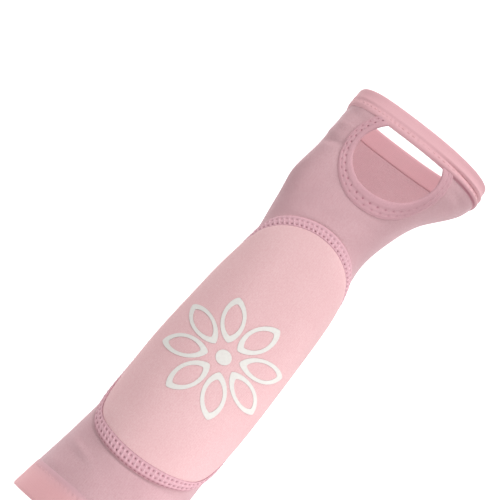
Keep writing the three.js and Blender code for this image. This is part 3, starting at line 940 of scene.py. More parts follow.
@dataclass
class KnitSleeve:
    """The knitted tube, cut flat with its thumb opening, wrapped to its form and sewn at the back."""

    wall: float = 1.2
    columns: int = 176
    rows: int = 210
    window: float = 1.6
    window_rings: int = 5
    tuck: float = 1.4
    line_slack: float = 0.1
    back_share: float = 0.9
    flat_size: tuple[float, float] = (205.0, 262.0)

    def lay_out(self) -> bpy.types.Object:
        """Lay the cloth flat, with s across and x along, and open it round the thumb hem.

        Returns:
            The flat cut, in millimetres.
        """
        obj, share, v = new_grid("knit_sleeve", self.columns, self.rows)
        start = ENDS.elbow_line(FORM, ENDS.elbow_hem, share)
        x = start + (v + 1) / 2 * (ENDS.hand_hem - start)
        s = FORM.around(x, share)
        write_points(obj, np.stack([s, x, np.zeros_like(x)], -1))
        self.open_window(obj, x, s)
        return obj

    def open_window(self, obj: bpy.types.Object, x: np.ndarray, s: np.ndarray) -> None:
        """Cut faces away round the thumb hem, up to the hand hem line, and run strips in to its outer edge.

        Args:
            obj: The flat cut.
            x: Each vertex's place along the sleeve.
            s: Each vertex's length around it.
        """
        corners = read_items(obj.data.polygons, "vertices", 4, np.int32)
        inside = THUMB.reach(x[corners].mean(1), s[corners].mean(1)) < self.window
        select_only(obj, "polygons", inside)
        with editing(obj, "FACE"):
            bpy.ops.mesh.delete(type="FACE")
        select_only(obj, "edges", self.hole_edges(obj))
        for left in range(self.window_rings, 0, -1):
            with editing(obj, "EDGE"):
                bpy.ops.mesh.extrude_region()
            flat = read_points(obj)
            chosen = read_items(obj.data.vertices, "select", 1, bool)[:, 0]
            s, x = flat[chosen, 0], flat[chosen, 1]
            hem_x, hem_s = THUMB.hem(THUMB.angle(x, s), -self.tuck, ENDS.hand_hem)
            hem_x = np.where(x > ENDS.hand_hem - self.line_slack, x, hem_x)
            flat[chosen, 0] += (hem_s - s) / left
            flat[chosen, 1] += (hem_x - x) / left
            write_points(obj, flat)
        select_only(obj, "polygons", read_items(obj.data.polygons, "normal", 3, np.float32)[:, 2] < 0)
        with editing(obj, "FACE"):
            bpy.ops.mesh.flip_normals()

    def hole_edges(self, obj: bpy.types.Object) -> np.ndarray:
        """Which edges run round the opening: those with one face that lie inside the cut.

        Args:
            obj: The flat cut.

        Returns:
            A truth value for each edge.
        """
        ends = read_items(obj.data.edges, "vertices", 2, np.int32)
        s, x, _ = read_points(obj)[ends].mean(1).T
        inside = (x > 0) & (x < ENDS.hand_hem - self.line_slack)
        return open_edges(obj) & inside & (np.abs(FORM.share(x, s)) < self.back_share)

    def build(self) -> bpy.types.Object:
        """Wrap the cut to its form, sew its back and give the cloth its thickness.

        Returns:
            The sleeve.
        """
        obj = self.lay_out()
        flat = read_points(obj)
        s, x = flat[:, 0], flat[:, 1]
        keep_cut(obj, x, s)
        write_points(obj, FORM.place(x, s, 0.0))
        close_seams(obj)
        add_applied(obj, "SOLIDIFY", thickness=self.wall * MM, offset=-1.0, use_even_offset=True)
        finish_piece(obj, SLEEVE_KNIT.material(), "knit", "sleeve")
        return obj


@dataclass(frozen=True)
class Ridge:
    """A ridge along a band: its share of the way across, half width and height, below 0 for a groove."""

    t: float
    width: float
    height: float


PULLED_HEM_RIDGES = (
    Ridge(0.2, 0.1, 0.8),
    Ridge(0.38, 0.045, -0.9),
    Ridge(0.5, 0.06, 0.6),
    Ridge(0.74, 0.12, -0.35),
    Ridge(0.96, 0.04, 0.35),
)
PAD_SEAM_RIDGES = (
    Ridge(0.48, 0.1, 0.25),
    Ridge(0.88, 0.08, 0.25),
)


def ridge_height(ridges: tuple[Ridge, ...], t: np.ndarray) -> np.ndarray:
    """Height of all the ridges at each share of the way across."""
    return sum(ridge.height * bell(t - ridge.t, ridge.width) for ridge in ridges)


class HemEnd(Enum):
    """Which end of the sleeve a turned hem closes."""

    ELBOW = "elbow"
    HAND = "hand"


@dataclass
class TurnedHem:
    """A band of doubled knit round one end of the sleeve, turned in and sewn along its hem line."""

    end: HemEnd
    material: bpy.types.Material
    rise: float
    blend_all: float
    blend_edge: float
    blend_width: float
    depth: float = 1.6
    middle: float = -0.5
    squareness: float = 9.0
    overlap: float = 0.8
    columns: int = 480
    rows: int = 72
    stitch_pitch: float = 3.2
    stitch_inset: float = 3.6
    stitch_part: tuple[float, float] = (0.15, 0.85)
    stitch_sink: float = 0.1
    dent: float = 0.1
    dent_width: float = 0.9
    pucker: float = 0.2
    ripple: float = 0.12
    ripple_length: float = 6.1
    ripple_sway: float = 1.3
    sway_length: float = 9.0
    ripple_reach: float = 6.0
    pull_s: float = 53.0
    pull_width: float = 24.0
    slack_share: float = 0.25
    crease_shade_width: float = 0.7

    def lines(self, share: np.ndarray) -> tuple[np.ndarray, np.ndarray]:
        """X of the band's two edges.

        Args:
            share: Shares of the half girth.

        Returns:
            The edge nearer to the elbow end and the other one.
        """
        if self.end is HemEnd.ELBOW:
            return (ENDS.elbow_line(FORM, ENDS.elbow_end, share),
                    ENDS.elbow_line(FORM, ENDS.elbow_hem, share) + self.overlap)
        return np.full_like(share, ENDS.hand_hem - self.overlap), np.full_like(share, ENDS.hand_end)

    def from_line(self, t: np.ndarray) -> np.ndarray:
        """Share of the way across the band from its hem line."""
        return 1 - t if self.end is HemEnd.ELBOW else t

    def build(self) -> bpy.types.Object:
        """Model the band as a closed ring of turned cloth.

        Returns:
            The hem.
        """
        obj, share, v = new_grid(f"{self.end.value}_hem", self.columns, self.rows)
        way = v + 1
        outer = way <= 1
        t = np.where(outer, (1 - np.cos(math.pi * way)) / 2, (1 + np.cos(math.pi * (way - 1))) / 2)
        low, high = self.lines(share)
        x = low + t * (high - low)
        s = FORM.around(x, share)
        roundness = np.clip(1 - np.abs(2 * t - 1) ** self.squareness, 0, None) ** 0.5
        top = self.middle + (self.rise - self.middle + self.surface(t, x, s, high - low)) * roundness
        under = self.middle - (self.depth + self.middle) * roundness
        off = self.from_line(t) * (high - low)
        keep_cut(obj, x, s)
        keep_share(obj, "blend", np.maximum(self.blend_edge * bell(off, self.blend_width), self.blend_all))
        if self.end is HemEnd.HAND:
            # Painted shadow along the crease at the hem line, strongest where the hem is pulled
            crease_shade = bell(off - self.overlap, self.crease_shade_width)
            keep_share(obj, "needle_hole", crease_shade * bell(s - self.pull_s, self.pull_width))
        write_points(obj, FORM.place(x, s, np.where(outer, top, under)))
        close_seams(obj)
        finish_piece(obj, self.material, "hem", f"{self.end.value}_hem")
        return obj

    def surface(self, t: np.ndarray, x: np.ndarray, s: np.ndarray, width: np.ndarray) -> np.ndarray:
        """Height of the outer face: a dent along the stitches, its puckers, and ridges where it is pulled.

        Args:
            t: Shares of the way across the band.
            x: Places along the sleeve.
            s: Lengths around it.
            width: The band's width there.

        Returns:
            A height for each place.
        """
        off = self.from_line(t) * width - self.stitch_inset
        puckers = (1 + np.cos(TURN * s / self.stitch_pitch)) / 2
        height = -bell(off, self.dent_width) * (self.dent + self.pucker * puckers)
        ripples = np.sin(s / self.ripple_length + self.ripple_sway * np.sin(x / self.sway_length))
        height += self.ripple * ripples * bell(off - self.ripple_reach, self.ripple_reach)
        if self.end is HemEnd.HAND:
            pulled = bell(s - self.pull_s, self.pull_width)
            pulled = self.slack_share + (1 - self.slack_share) * pulled
            height += ridge_height(PULLED_HEM_RIDGES, t) * pulled
        return height


@dataclass(frozen=True)
class StitchRow:
    """A row of stitches: its share of the way across, its shift in stitches, and how open its holes are."""

    t: float
    shift: float
    strength: float


@dataclass
class ThumbHem:
    """The hem round the thumb opening: a plain fold at the rim, and a flat with two rows of stitches.

    It is a U whose two ends run in under the hand hem.
    """

    fold_share: float = 0.48
    fold_rise: float = 1.15
    flat_rise: float = 0.9
    row_dip: float = 0.12
    row_width: float = 0.06
    edge_share: float = 0.8
    depth: float = 1.7
    end_tuck: float = 1.5
    end_fade: float = 0.035
    end_sink: float = 0.8
    columns: int = 400
    rows: int = 80
    face_split: float = 0.4
    inner_row: StitchRow = StitchRow(0.5, 0.0, 0.9)
    outer_row: StitchRow = StitchRow(0.76, 0.5, 0.6)
    pitch: float = 4.3
    length_steps: int = 200
    stitch_part: tuple[float, float] = (0.2, 0.8)
    stitch_sink: float = 0.12
    hole_depth: float = 0.5
    hole_size: float = 0.5
    slack_share: float = 0.3
    pull_places: tuple[float, float] = (0.28, 0.48)

    def place(self, turn: np.ndarray, t: np.ndarray) -> tuple[np.ndarray, np.ndarray]:
        """Place (x, s) on the band.

        Args:
            turn: Shares of the way along the U.
            t: Shares of the way across the band, from the rim.

        Returns:
            The x and s of each place.
        """
        top = ENDS.hand_hem + self.end_tuck
        first, last = THUMB.ends(top)
        angle = first + turn * (last - first)
        rim_x, rim_s = THUMB.rim(angle)
        hem_x, hem_s = THUMB.hem(angle, 0.0, top)
        return rim_x + t * (hem_x - rim_x), rim_s + t * (hem_s - rim_s)

    def length(self) -> float:
        """Length of the U along its inner row of stitches.

        Returns:
            The length.
        """
        way = np.linspace(0, 1, self.length_steps)
        x, s = self.place(way, np.full_like(way, self.inner_row.t))
        return float(np.hypot(np.diff(x), np.diff(s)).sum())

    def stitches(self) -> int:
        """How many stitches each row has."""
        return round(self.length() / self.pitch)

    def holes(self, turn: np.ndarray, t: np.ndarray) -> np.ndarray:
        """How deep in a needle hole each place lies: a clear inner row and a fainter outer one between.

        The holes are pulled open on the little finger side and all but closed on the thumb side.

        Args:
            turn: Shares of the way along the U.
            t: Shares of the way across the band, from the rim.

        Returns:
            A depth for each place, 1 in the middle of a hole that is pulled wide.
        """
        depth = np.zeros_like(turn)
        pulled = np.interp(turn, self.pull_places, (self.slack_share, 1))
        width = (THUMB.hem_side + THUMB.hem_bottom) / 2
        for row in (self.inner_row, self.outer_row):
            along = (np.mod(turn * self.stitches() + row.shift, 1.0) - 0.5) * self.pitch
            depth += row.strength * pulled * bell(np.hypot(along, (t - row.t) * width), self.hole_size)
        return depth

    def top(self, turn: np.ndarray, t: np.ndarray) -> np.ndarray:
        """Height of the outer face, without its needle holes; it sinks towards the ends of the U.

        Args:
            turn: Shares of the way along the U.
            t: Shares of the way across the band, from the rim.

        Returns:
            A height for each place.
        """
        fold = self.fold_rise * np.sqrt(np.clip(1 - np.abs(2 * t / self.fold_share - 1) ** 3, 0, None))
        dips = bell(t - self.inner_row.t, self.row_width) + bell(t - self.outer_row.t, self.row_width)
        flat = np.where(t < self.fold_share / 2, 0.0, self.flat_rise - self.row_dip * dips)
        past = np.clip((t - self.edge_share) / (1 - self.edge_share), 0, 1)
        ends = bell(turn, self.end_fade) + bell(1 - turn, self.end_fade)
        full = np.maximum(np.where(t < self.fold_share, fold, 0.0), flat)
        return full * np.sqrt(1 - past**2) * (1 - self.end_sink * ends)

    def build(self) -> bpy.types.Object:
        """Model the band as a closed strip.

        Returns:
            The thumb hem.
        """
        obj, u, v = new_grid("thumb_hem_band", self.columns, self.rows)
        turn = (u + 1) / 2
        outer = v <= self.face_split
        t = np.where(outer, (1 + v) / (1 + self.face_split), (1 - v) / (1 - self.face_split))
        x, s = self.place(turn, t)
        holes = np.where(outer, self.holes(turn, t), 0.0)
        under = -self.depth * np.sqrt(np.clip(1 - (2 * t - 1) ** 4, 0, None))
        keep_cut(obj, x, s)
        # Painted shade in the needle holes: the deeper a hole, the darker its colour
        keep_share(obj, "needle_hole", holes)
        over = self.top(turn, t) - self.hole_depth * holes
        write_points(obj, FORM.place(x, s, np.where(outer, over, under)))
        close_seams(obj)
        with editing(obj, "EDGE"):
            bpy.ops.mesh.select_all(action="SELECT")
            bpy.ops.mesh.fill_holes(sides=0)
            bpy.ops.mesh.normals_make_consistent(inside=False)
        finish_piece(obj, THUMB_KNIT.material(), "hem", "thumb_hem")
        return obj


@dataclass
class ForearmPad:
    """The foam pad under its brushed cover: a crowned form that the seam holds down all round."""

    rest: float = 0.4
    edge: float = 0.8
    crown: float = 6.2
    start_share: float = 0.8
    seam_width: float = 7.4
    tuck: float = 2.2
    squareness: float = 6.0
    shoulder: float = 4.0
    columns: int = 56
    rows: int = 84
    sewn_rings: float = 1.5
    frames: int = 20
    cap: float = 1.6
    COVER_CLOTH: ClassVar[dict[str, float]] = {
        "use_pressure": True,
        "uniform_pressure_force": 4.0,
        "quality": 6,
        "mass": 0.2,
        "tension_stiffness": 40,
        "compression_stiffness": 40,
        "bending_stiffness": 8,
    }

    def top(self, x: np.ndarray, s: np.ndarray) -> np.ndarray:
        """Height of the finished pad over the sleeve.

        Args:
            x: Places along the sleeve.
            s: Lengths around it.

        Returns:
            A height for each place, which falls in a round shoulder to the edge.
        """
        along, across = PAD.unwarp(x, s)
        inset = self.seam_width - self.tuck
        a = np.abs(along) / (np.where(along > 0, PAD.hand_round, PAD.elbow_length) - inset)
        b = np.abs(across) / (PAD.half_width - inset)
        power = np.where(along > 0, 2.0, self.squareness)
        reach = np.clip((a**power + b**power) ** (1 / power), 0, 1)
        return self.rest + self.edge + (self.crown - self.edge) * np.sqrt(1 - reach**self.shoulder)

    def build(self) -> bpy.types.Object:
        """Model the pad's closed form, swell its cover by cloth simulation and smooth it.

        Returns:
            The pad.
        """
        obj, u, v = new_grid("forearm_pad", self.columns, self.rows)
        x, s = PAD.fill(u, v, self.seam_width - self.tuck)
        keep_cut(obj, x, s)
        lift = self.rest + self.start_share * (self.top(x, s) - self.rest)
        write_points(obj, FORM.place(x, s, lift))
        self.close_underside(obj, FORM.place(x, s, self.rest))
        sewn = 2 * self.sewn_rings
        under_seam = (np.abs(u) > 1 - sewn / self.columns) | (np.abs(v) > 1 - sewn / self.rows)
        self.swell(obj, np.flatnonzero(~under_seam))
        add_applied(obj, "SUBSURF", levels=1, render_levels=1)
        finish_piece(obj, PAD_KNIT.material(), "pad_cover", "pad")
        return obj

    def close_underside(self, obj: bpy.types.Object, floor: np.ndarray) -> None:
        """Copy the cover down to the sleeve as the pad's underside and bridge the two edges.

        Args:
            obj: The cover.
            floor: The underside's points.
        """
        count = len(obj.data.vertices)
        with editing(obj, "FACE"):
            bpy.ops.mesh.select_all(action="SELECT")
            bpy.ops.mesh.duplicate()
            bpy.ops.mesh.flip_normals()
        points = read_points(obj)
        points[count:] = floor
        write_points(obj, points)
        select_only(obj, "edges", open_edges(obj))
        with editing(obj, "EDGE"):
            bpy.ops.mesh.bridge_edge_loops()

    def swell(self, obj: bpy.types.Object, free: np.ndarray) -> None:
        """Blow the cover up against its sewn edge, and cap how far any point moves.

        Args:
            obj: The pad.
            free: The vertices of the cover that no seam holds down.
        """
        before = read_points(obj)
        sewn = obj.vertex_groups.new(name="sewn")
        sewn.add(np.setdiff1d(np.arange(len(before)), free).tolist(), 1.0, "REPLACE")
        cloth = obj.modifiers.new("cover", "CLOTH")
        cloth.settings.vertex_group_mass = sewn.name
        for name, value in self.COVER_CLOTH.items():
            setattr(cloth.settings, name, value)
        cloth.settings.effector_weights.gravity = 0
        cloth.point_cache.frame_start = 1
        cloth.point_cache.frame_end = self.frames
        for number in range(1, self.frames + 1):
            bpy.context.scene.frame_set(number)
        activate(obj)
        bpy.ops.object.modifier_apply(modifier=cloth.name)
        bpy.context.scene.frame_set(1)
        move = read_points(obj) - before
        length = np.linalg.norm(move, axis=1, keepdims=True)
        LOG.info("the cover swelled by up to %.2f mm", float(length.max() / MM))
        write_points(obj, before + move * np.minimum(1.0, self.cap * MM / np.maximum(length, TINY)))
        obj.vertex_groups.clear()


@dataclass(frozen=True)
class HoleRow:
    """A row of needle holes: its share of the way across, how it wanders, and its depth at the pad's ends."""

    t: float
    wander: float
    at_elbow: float
    at_hand: float


@dataclass
class PadSeam:
    """The raised flat seam round the pad: rungs of thread between two rows of holes, and an outer lip.

    profile holds the grid's places at which the band's section turns: from its inner foot up to its inner
    edge, over to its outer edge, down to its outer foot and back. The painted shade lines and the painted
    lip shadow are placed by how near the hand end a stretch of the seam lies, from 0 at the elbow end to 1.
    """

    width: float = 7.4
    rest: float = 0.35
    inner_edge: float = 1.7
    outer_edge: float = 0.45
    arch: float = 0.45
    sink: float = 0.6
    columns: int = 1320
    rows: int = 48
    profile: tuple[float, ...] = (-1.0, -0.93, 0.78, 0.85, 1.0)
    stitches: int = 165
    lean: float = 0.5
    hole_rows: tuple[HoleRow, ...] = (HoleRow(0.28, 2.3, 0.85, 1.0), HoleRow(0.68, 3.7, 0.9, 0.55))
    hole_depth: float = 0.7
    hole_along: float = 0.46
    hole_across: float = 0.42
    elbow_spread: float = 0.3
    uneven: float = 0.12
    rung: float = 0.14
    thread_rows: tuple[float, ...] = (0.14, 0.48, 0.74, 0.97)
    thread_sink: float = 0.12
    # Painted shade line along the crease at the pad's edge, and painted shadow along the outer lip
    line_places: tuple[float, ...] = (0.04, 0.12, 0.55, 0.75)
    line_shares: tuple[float, ...] = (0.8, 0.1, 0.1, 0.8)
    line_reach: float = 0.1
    line_width: float = 0.05
    line_beat: float = 0.25
    lip_shadow_places: tuple[float, ...] = (0.12, 0.32)
    lip_shadow_width: float = 0.12

    def place(self, turn: np.ndarray, t: np.ndarray) -> tuple[np.ndarray, np.ndarray]:
        """Place (x, s) on the band.

        Args:
            turn: Shares of the way round.
            t: Shares of the way across, from the inner edge.

        Returns:
            The x and s of each place.
        """
        in_x, in_s = PAD.point(turn, self.width)
        out_x, out_s = PAD.point(turn, 0.0)
        return in_x + t * (out_x - in_x), in_s + t * (out_s - in_s)

    def phase(self, turn: np.ndarray, t: np.ndarray) -> np.ndarray:
        """Place between two leaning rungs, from -0.5 to 0.5, with 0 at a needle hole."""
        return np.mod(turn * self.stitches + self.lean * (t - 0.5), 1.0) - 0.5

    def holes(self, turn: np.ndarray, t: np.ndarray) -> np.ndarray:
        """How deep in a needle hole each place lies; the holes are pulled a little unevenly.

        Args:
            turn: Shares of the way round.
            t: Shares of the way across, from the inner edge.

        Returns:
            A depth for each place, about 1 in the middle of a deep hole.
        """
        pitch = PAD.straight(PAD.even_inset)[1][-1] / self.stitches
        along = bell(self.phase(turn, t) * pitch, self.hole_along)
        hand = self.handward(turn)
        width = self.hole_across * (1 + self.elbow_spread * (1 - hand))
        depth = np.zeros_like(turn)
        for row in self.hole_rows:
            number = np.floor(turn * self.stitches + self.lean * (row.t - 0.5))
            pull = 1 - self.uneven * (1 - np.sin(number * row.wander))
            strength = row.at_elbow + (row.at_hand - row.at_elbow) * hand
            depth += strength * pull * along * bell((t - row.t) * self.width, width)
        return depth

    def handward(self, turn: np.ndarray) -> np.ndarray:
        """How near the hand end a share of the way round lies, from 0 at the elbow end to 1."""
        x, _ = PAD.point(turn, self.width)
        return np.clip((x - PAD.elbow_end) / (PAD.hand_end - PAD.elbow_end), 0, 1)

    def painted_edge_shade(self, turn: np.ndarray, t: np.ndarray) -> np.ndarray:
        """Painted shade along the edges: a crease line at the pad's ends and a shadow outside the lip at the
        elbow end.

        Args:
            turn: Shares of the way round.
            t: Shares of the way across, from the inner edge.

        Returns:
            A share of the painted shade colour for each place.
        """
        beat = 1 - self.line_beat * (1 - np.cos(TURN * self.phase(turn, t)))
        hand = self.handward(turn)
        inner = np.interp(hand, self.line_places, self.line_shares)
        inner *= bell(np.clip(t - self.line_reach * hand, 0, None), self.line_width)
        outer = np.interp(hand, self.lip_shadow_places, (1, 0)) * bell(1 - t, self.lip_shadow_width)
        return beat * np.maximum(inner, outer)

    def top(self, turn: np.ndarray, t: np.ndarray) -> np.ndarray:
        """Height of the band's outer face over the sleeve, without its needle holes.

        It has a ridge between the two rows of holes and one along its outer edge.

        Args:
            turn: Shares of the way round.
            t: Shares of the way across, from the inner edge.

        Returns:
            A height for each place.
        """
        arch = np.sqrt(np.clip(1 - (2 * t - 1) ** 4, 0, None))
        rungs = np.sin(math.pi * self.phase(turn, t)) ** 2 * arch
        outer_edge = self.outer_edge * (1 - self.handward(turn))
        slope = self.inner_edge + (outer_edge - self.inner_edge) * t
        return self.rest + slope + (self.arch + ridge_height(PAD_SEAM_RIDGES, t)) * arch + self.rung * rungs

    def build(self) -> bpy.types.Object:
        """Model the seam as a closed ring whose outer edge stands up from the sleeve.

        Returns:
            The seam.
        """
        obj, u, v = new_grid("pad_flat_seam", self.columns, self.rows)
        turn = (u + 1) / 2
        t = np.interp(v, self.profile, (0, 0, 1, 1, 0))
        raised = np.interp(v, self.profile, (0, 1, 1, 0, 0))
        x, s = self.place(turn, t)
        on_face = (v > self.profile[1]) & (v < self.profile[2])
        holes = self.holes(turn, t) * on_face
        keep_cut(obj, x, s)
        # Painted shade: in the needle holes, along the crease at the pad's edge, and a painted shadow along
        # the outer lip at the elbow end
        keep_share(obj, "needle_hole", np.maximum(holes, self.painted_edge_shade(turn, t)))
        top = self.top(turn, t) - self.hole_depth * holes
        sunk = np.interp(v, self.profile, (0, 0, 0, self.sink, 0))
        write_points(obj, FORM.place(x, s, self.rest + (top - self.rest) * raised - sunk))
        close_seams(obj)
        finish_piece(obj, SEAM_KNIT.material(), "seam", "pad_seam")
        return obj


@dataclass
class Rosette:
    """The print on the pad: outlined petals round a boss, pressed on as thin film."""

    x: float = -92.0
    s: float = 3.0
    petals: int = 8
    near: float = 8.0
    far: float = 33.0
    half_width: float = 6.2
    point: float = 1.4
    line: float = 1.9
    boss: float = 4.0
    film: float = 0.14
    press: float = 0.1
    columns: int = 96
    line_faces: int = 3
    boss_faces: int = 24

    def build(self, pad: bpy.types.Object) -> list[bpy.types.Object]:
        """Press every petal and the boss onto the pad.

        Args:
            pad: The finished pad.

        Returns:
            The pieces of film.
        """
        film = FilmFinish().material()
        pieces = [self.petal(number, pad, film) for number in range(1, self.petals + 1)]
        pieces.append(self.middle_boss(pad, film))
        return pieces

    def petal(self, number: int, pad: bpy.types.Object, film: bpy.types.Material) -> bpy.types.Object:
        """Cut and press one outlined petal.

        Args:
            number: The petal's number, from 1.
            pad: The pad under it.
            film: The film's material.

        Returns:
            The petal.
        """
        obj, u, v = new_grid(f"film_petal_{number}", self.columns, self.line_faces)
        heading = TURN * (number - 0.5) / self.petals
        inset = (1 - v) / 2 * self.line
        angle = math.pi * (u + 1)
        out = (self.near + self.far) / 2 + ((self.far - self.near) / 2 - 2 * inset) * np.cos(angle)
        bulge = np.sign(np.sin(angle)) * np.abs(np.sin(angle)) ** self.point
        side = (self.half_width - inset) * bulge
        x = self.x + out * math.cos(heading) - side * math.sin(heading)
        s = self.s + out * math.sin(heading) + side * math.cos(heading)
        self.press_on(obj, x, s, pad)
        finish_piece(obj, film, "film", f"print_petal_{number}")
        return obj

    def middle_boss(self, pad: bpy.types.Object, film: bpy.types.Material) -> bpy.types.Object:
        """Cut and press the round boss in the middle.

        Args:
            pad: The pad under it.
            film: The film's material.

        Returns:
            The boss.
        """
        obj, u, v = new_grid("film_boss", self.boss_faces, self.boss_faces)
        reach = self.boss * np.maximum(np.abs(u), np.abs(v)) / np.maximum(np.hypot(u, v), TINY)
        x = self.x + v * reach
        s = self.s + u * reach
        self.press_on(obj, x, s, pad)
        finish_piece(obj, film, "film", "print_boss")
        return obj

    def press_on(self, obj: bpy.types.Object, x: np.ndarray, s: np.ndarray, pad: bpy.types.Object) -> None:
        """Lay a cut of film on the pad's face and give it its thickness.

        Args:
            obj: The flat grid.
            x: Each vertex's place along the sleeve.
            s: Each vertex's length around it.
            pad: The pad under it.
        """
        write_points(obj, FORM.place(x, s, ForearmPad().top(x, s)))
        close_seams(obj)
        add_applied(obj, "SHRINKWRAP", target=pad, wrap_method="NEAREST_SURFACEPOINT",
                    wrap_mode="ABOVE_SURFACE", offset=self.press * MM)
        add_applied(obj, "SOLIDIFY", thickness=self.film * MM, offset=1.0)


@dataclass
class Threads:
    """Sewing thread: many short arched stitches joined into one mesh."""

    name: str
    finish: ThreadFinish
    radius: float = 0.26
    arch: float = 0.35
    rings: int = 5
    sides: int = 6
    starts: list[np.ndarray] = field(default_factory=list)
    ends: list[np.ndarray] = field(default_factory=list)
    ups: list[np.ndarray] = field(default_factory=list)

    def sew(self, start: tuple[np.ndarray, np.ndarray, np.ndarray],
            end: tuple[np.ndarray, np.ndarray, np.ndarray]) -> None:
        """Add a stitch from each start to each end, both given as x, s and height.

        Args:
            start: Where the stitches leave the cloth.
            end: Where they go back in.
        """
        self.starts.append(FORM.place(*start))
        self.ends.append(FORM.place(*end))
        self.ups.append(FORM.outward((start[0] + end[0]) / 2, (start[1] + end[1]) / 2))

    def build(self, slot: str) -> bpy.types.Object:
        """Join all stitches into one mesh.

        Args:
            slot: The record's material slot.

        Returns:
            The thread.
        """
        start = np.concatenate(self.starts)
        end = np.concatenate(self.ends)
        up = np.concatenate(self.ups)
        along = end - start
        side = np.cross(along, up)
        side /= np.linalg.norm(side, axis=1, keepdims=True)
        strips = len(start) * (self.rings + 1) - 1
        obj, u, v = new_grid(self.name, self.sides, strips)
        line = np.rint((v + 1) / 2 * strips).astype(int)
        stitch = line // (self.rings + 1)
        way = (line % (self.rings + 1)) / self.rings
        angle = math.pi * (u + 1)
        hump = np.sin(math.pi * way)
        girth = self.radius * np.sqrt(np.sqrt(np.clip(hump, 0, None)))
        lift = self.arch * hump + girth * np.sin(angle)
        points = start[stitch] + along[stitch] * way[:, None] + up[stitch] * (lift * MM)[:, None]
        points += side[stitch] * (girth * np.cos(angle) * MM)[:, None]
        write_points(obj, points)
        self.part(obj, stitch)
        close_seams(obj)
        with editing(obj, "FACE"):
            bpy.ops.mesh.select_all(action="SELECT")
            bpy.ops.mesh.normals_make_consistent(inside=False)
        finish_piece(obj, self.finish.material(), slot)
        return obj

    def part(self, obj: bpy.types.Object, stitch: np.ndarray) -> None:
        """Cut the long strip apart between each stitch and the next.

        Args:
            obj: The strip.
            stitch: Each vertex's stitch.
        """
        owner = stitch[read_items(obj.data.polygons, "vertices", 4, np.int32)]
        select_only(obj, "polygons", owner.min(1) != owner.max(1))
        with editing(obj, "FACE"):
            bpy.ops.mesh.delete(type="FACE")


def sew_pad_seam(seam: PadSeam) -> bpy.types.Object:
    """Sew the pad's seam: cover thread over each rung, from inside the inner needle holes to the outer edge.

    Args:
        seam: The seam's sizes.

    Returns:
        The thread.
    """
    threads = Threads("pad_seam_thread", SEAM_THREAD, radius=0.24, arch=0.08)
    spots = []
    for row in seam.thread_rows:
        t = np.full(seam.stitches, row)
        turn = (np.arange(seam.stitches) - seam.lean * (row - 0.5)) / seam.stitches
        spots.append((*seam.place(turn, t), seam.top(turn, t) - seam.thread_sink))
    for start, end in zip(spots, spots[1:]):
        threads.sew(start, end)
    return threads.build("seam")


def sew_thumb_hem(hem: ThumbHem) -> bpy.types.Object:
    """Sew the thumb hem's two rows of short stitches.

    Args:
        hem: The hem's sizes.

    Returns:
        The thread.
    """
    threads = Threads("thumb_hem_thread", THUMB_THREAD, radius=0.2, arch=0.06)
    count = hem.stitches()
    number = np.arange(count - 2)
    for row in (hem.inner_row, hem.outer_row):
        t = np.full(len(number), row.t)
        ends = []
        for part in hem.stitch_part:
            turn = (number + row.shift + 0.5 + part) / count
            ends.append((*hem.place(turn, t), hem.top(turn, t) - hem.stitch_sink))
        threads.sew(*ends)
    return threads.build("hem")


def sew_turned_hem(hem: TurnedHem) -> bpy.types.Object:
    """Sew a row of short stitches along a turned hem.

    Args:
        hem: The hem's sizes.

    Returns:
        The thread.
    """
    threads = Threads(f"{hem.end.value}_hem_thread", HEM_THREAD, radius=0.24, arch=0.2)
    line = ENDS.elbow_hem if hem.end is HemEnd.ELBOW else ENDS.hand_hem
    girth = np.abs(FORM.around(np.full(2, line), np.array([-1.0, 1.0]))).sum()
    count = round(girth / hem.stitch_pitch)
    number = np.arange(count)
    ends = []
    for part in hem.stitch_part:
        share = np.mod((number + part) / count * 2, 2) - 1
        low, high = hem.lines(share)
        x = high - hem.stitch_inset if hem.end is HemEnd.ELBOW else low + hem.stitch_inset
        s = FORM.around(x, share)
        t = (x - low) / (high - low)
        ends.append((x, s, hem.rise + hem.surface(t, x, s, high - low) - hem.stitch_sink))
    threads.sew(*ends)
    return threads.build("hem")


# Studio

@dataclass(frozen=True)
class Lamp:
    """A soft white panel lamp: where it stands from the sleeve's middle, its size and its power.

    right, up and back are metres in the picture's own directions, back being towards the camera.
    """

    name: str
    right: float
    up: float
    back: float
    size: float
    power: float


